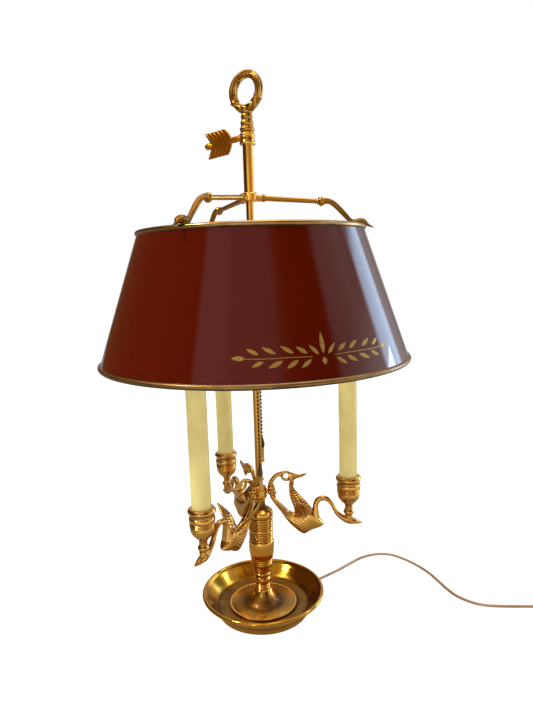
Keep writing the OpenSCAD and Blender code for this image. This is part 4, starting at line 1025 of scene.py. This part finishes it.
# %% Leaves on the cone
spray_at, spray_z, plan_r = 297.2, 364, 180
plan = [
    (0, 2.4, 0, 24, 5.2), (0, -1.3, 0, -8.8, 5.4), (78, 1.2, 91.5, 2.2, 4.8), (5, 1.5, 14.7, 12, 4),
    (17, 3.6, 28.4, 11, 4.2), (31, 4.5, 43.8, 12.4, 4.2), (48.5, 4.9, 62, 12, 4.2),
    (65, 4.7, 77, 10.8, 3.9), (13.5, -2.4, 25, -10.2, 4), (26.8, -2.2, 39, -9.6, 4.4),
    (42.2, -2.2, 56.7, -8.4, 4.6), (60.6, -2, 72, -6.8, 4),
]
plan += [(-a, b, -c, d, w) for a, b, c, d, w in plan[2:]]
seeds = bpy.data.meshes.new("LaurelPlan")
seeds.from_pydata([((a + c) / 2 * mm, (b + d) / 2 * mm, 0) for a, b, c, d, w in plan], [], [])
for name, values in [("turn", [atan2(d - b, c - a) for a, b, c, d, w in plan]),
                     ("long", [hypot(c - a, d - b) * mm for a, b, c, d, w in plan]),
                     ("wide", [w * mm for a, b, c, d, w in plan])]:
    seeds.attributes.new(name, "FLOAT", "POINT").data.foreach_set("value", values)
laurel = placed("LaurelSpray", seeds)

edge_row = [(-0.5 + i / 14, 0.5 * sin(pi * (i / 14) ** 0.85) ** 0.9) for i in range(15)]
outline = edge_row + [(x, -y) for x, y in edge_row[-2:0:-1]]
leaf = solid("LeafPattern", skinned([
    (x * long / mm, y * wide / mm, h) for long, wide, h in ((1, 1, -0.15), (1, 1, 0.07), (0.86, 0.8, 0.1))
    for x, y in outline], len(outline)), 80)
mark(leaf, "edge", [1] * (2 * len(outline)) + [0] * len(outline))


def node_tree(name, values):
    """A Geometry Nodes tree with a geometry in and out, and an input named for each value."""
    tree = bpy.data.node_groups.new(name, "GeometryNodeTree")
    tree.interface.new_socket("Geometry", in_out="OUTPUT", socket_type="NodeSocketGeometry")
    tree.interface.new_socket("Geometry", in_out="INPUT", socket_type="NodeSocketGeometry")
    for label, value in values.items():
        kind = type(value).__name__.capitalize()
        tree.interface.new_socket(label, in_out="INPUT", socket_type=f"NodeSocket{kind}")
    entry = tree.nodes.new("NodeGroupInput")
    return tree, {socket.name: Wire(tree, socket) for socket in entry.outputs if socket.name}


def ended(shape, given):
    """Gives the shape its finish and hands it out of its tree."""
    shape = shape.geo("SetMaterial", {"Geometry": shape, "Material": given["Finish"]})
    shape.tree.links.new(shape.socket, shape.tree.nodes.new("NodeGroupOutput").inputs[0])


def grown(piece, tree, values):
    """Runs a node tree on a piece with these inputs, and keeps the result as its mesh."""
    growth = piece.modifiers.new("growth", "NODES")
    growth.node_group = tree
    for item in tree.interface.items_tree:
        if item.in_out == "INPUT" and item.name in values:
            growth[item.identifier] = values[item.name]
    return settled(piece)


taper = atan(-narrowing / shade_high)
spray = {
    "Leaf": leaf, "Middle": radians(spray_at), "Low radius": (low_mid[0] + 0.5) * mm,
    "Low height": low_mid[1] * mm, "Base height": spray_z * mm, "Taper": taper, "Plan radius": plan_r * mm,
    "Finish": stencil_gold}
tree, given = node_tree("Leaves on a cone", spray)
start = given["Geometry"]
turn, long, wide = (start.geo("InputNamedAttribute", {"Name": name})
                    for name in ("turn", "long", "wide"))
leaf_in = start.geo("ObjectInfo", {"Object": given["Leaf"]}, out="Geometry")
spread = start.geo("InstanceOnPoints", {
    "Points": start, "Instance": leaf_in, "Rotation": start.vector(0, 0, turn),
    "Scale": start.vector(long, wide, 1)})
flat = start.geo("RealizeInstances", {0: spread})
x, y, lift = start.geo("InputPosition").parts()
slope = given["Taper"].sum("COSINE", given["Taper"])
lean = given["Taper"].sum("SINE", given["Taper"])
tall = given["Base height"] + y * slope
angle = given["Middle"] + x / given["Plan radius"]
out_to = given["Low radius"] - (tall - given["Low height"]) * (lean / slope) + lift * slope
bent = start.vector(
    out_to * angle.sum("COSINE", angle), out_to * angle.sum("SINE", angle), tall + lift * lean)
bent = start.geo("SetPosition", {"Geometry": flat, "Position": bent})
ended(bent, given)
grown(laurel, tree, spray)

# %% The spray's stalk
work = bmesh.new()
work.from_mesh(laurel.data)
for side in (1, -1):
    points = []
    for i in range(31):
        x, y = 12.5 + 2.2 * i, 1.3 * i / 30 + 0.35 * sin(i / 5)
        a = radians(spray_at) + side * x / plan_r
        for across, lift in ((-0.32, -0.1), (-0.32, 0.1), (0.32, 0.1), (0.32, -0.1)):
            z = spray_z + y * cos(taper) + across
            r = low_mid[0] + 0.5 - (z - low_mid[1]) * tan(taper) + lift
            points.append((r * cos(a), r * sin(a), z))
    points, faces = skinned(points, 4)
    stalk = [work.verts.new(Vector(p) * mm) for p in points]
    for face in faces:
        work.faces.new([stalk[k] for k in face])
bmesh.ops.recalc_face_normals(work, faces=work.faces)
work.to_mesh(laurel.data)
work.free()
sharpened(laurel.data, 50)
bpy.data.objects.remove(leaf)
dressed(laurel, "shade", stencil_gold, "shade_lacquer")
print("laurel spray:", len(laurel.data.polygons), "faces")

# %% [markdown]
# ## Lights, switches and chains
# Under the shade, a round housing holds two pull-chain switches and two lampholders. Their plain
# turned parts keep their solids and get their finishes. The ball chains repeat, so a node tree sets
# a ball at each step of a line and threads a wire through them.

# %% Inner parts
painted(polished_brass, "housing_cup", "housing_lid", "socket_shells", "chain_guides")
painted(phenolic, "switch_units")
painted(ceramic, "socket_liners")
painted(contact_brass, "screw_shells")
painted(bulb_metal, "bulb_caps")
painted(frosted, "bulb_glass")
painted(flex_gold, "inner_lead")
painted(rubber, "cord_bushing")

# %% Ball chains
chain_top, pitch, ball_r, bell_high = 397.4, 4.8, 1.6, 33
links = {"Balls": 2, "Pitch": pitch * mm, "Ball radius": ball_r * mm, "Wire radius": 0.5 * mm,
         "Finish": chain_bronze}
tree, given = node_tree("Ball chain", links)
start = given["Geometry"]
down = start.vector(0, 0, given["Pitch"] * -1)
line = start.geo("MeshLine", {"Count": given["Balls"], "Offset": down}, {"mode": "OFFSET"})
ball = start.geo("MeshUVSphere", {"Segments": 14, "Rings": 8, "Radius": given["Ball radius"]})
balls = start.geo("RealizeInstances", {
    0: start.geo("InstanceOnPoints", {"Points": line, "Instance": ball})})
span = given["Pitch"] * (given["Balls"] - 1)
wire = start.geo("MeshCylinder", {"Vertices": 8, "Radius": given["Wire radius"], "Depth": span})
wire = start.geo("Transform", {"Geometry": wire, "Translation": start.vector(0, 0, span * -0.5)})
both = start.geo("JoinGeometry")
for piece in (balls, wire):
    tree.links.new(piece.socket, both.socket.node.inputs[0])
both = start.geo("SetShadeSmooth", {"Geometry": both})
ended(both, given)

bell_outline = [
    (0.55, 33), (0.55, 30), (0, 30), (0, 0), (2.4, 0), (2.9, 0.3), (3, 0.8), (2.7, 1.4), (2.4, 3),
    (2.3, 19), (2.5, 19.8), (3.15, 20.8), (3.3, 22.4), (3.25, 24.6), (2.9, 27.4), (2.2, 30), (1.5, 32),
    (1.1, 33),
]
for label, body, reach_out, turn, bell_z in [("Front", "front_pull", 16, 281, 170),
                                             ("Rear", "rear_pull", 15.5, 75, 198)]:
    long = chain_top - (bell_z + bell_high + ball_r)
    count = int(long / pitch)
    chain = placed(f"{label}Chain", bpy.data.meshes.new(body))
    grown(chain, tree, {**links, "Balls": count + 1, "Pitch": long / count * mm})
    spot = put(degrees=turn) @ Vector((reach_out, 0, 0))
    chain.data.transform(put((spot + Vector((0, 0, chain_top))) * mm))
    dressed(chain, body, chain_bronze, "chain_bronze", body.replace("_pull", "_chain"))
    bell = solid(f"{label}Bell", moved(spun(bell_outline, 40), put(spot + Vector((0, 0, bell_z)))))
    mark(bell, "recess", np.clip((corners(bell)[:, 2] - bell_z - 19.4) / 1.2, 0, 1) * 0.9)
    dressed(bell, body, bell_bronze, "chain_bronze", body.replace("_pull", "_bell"))
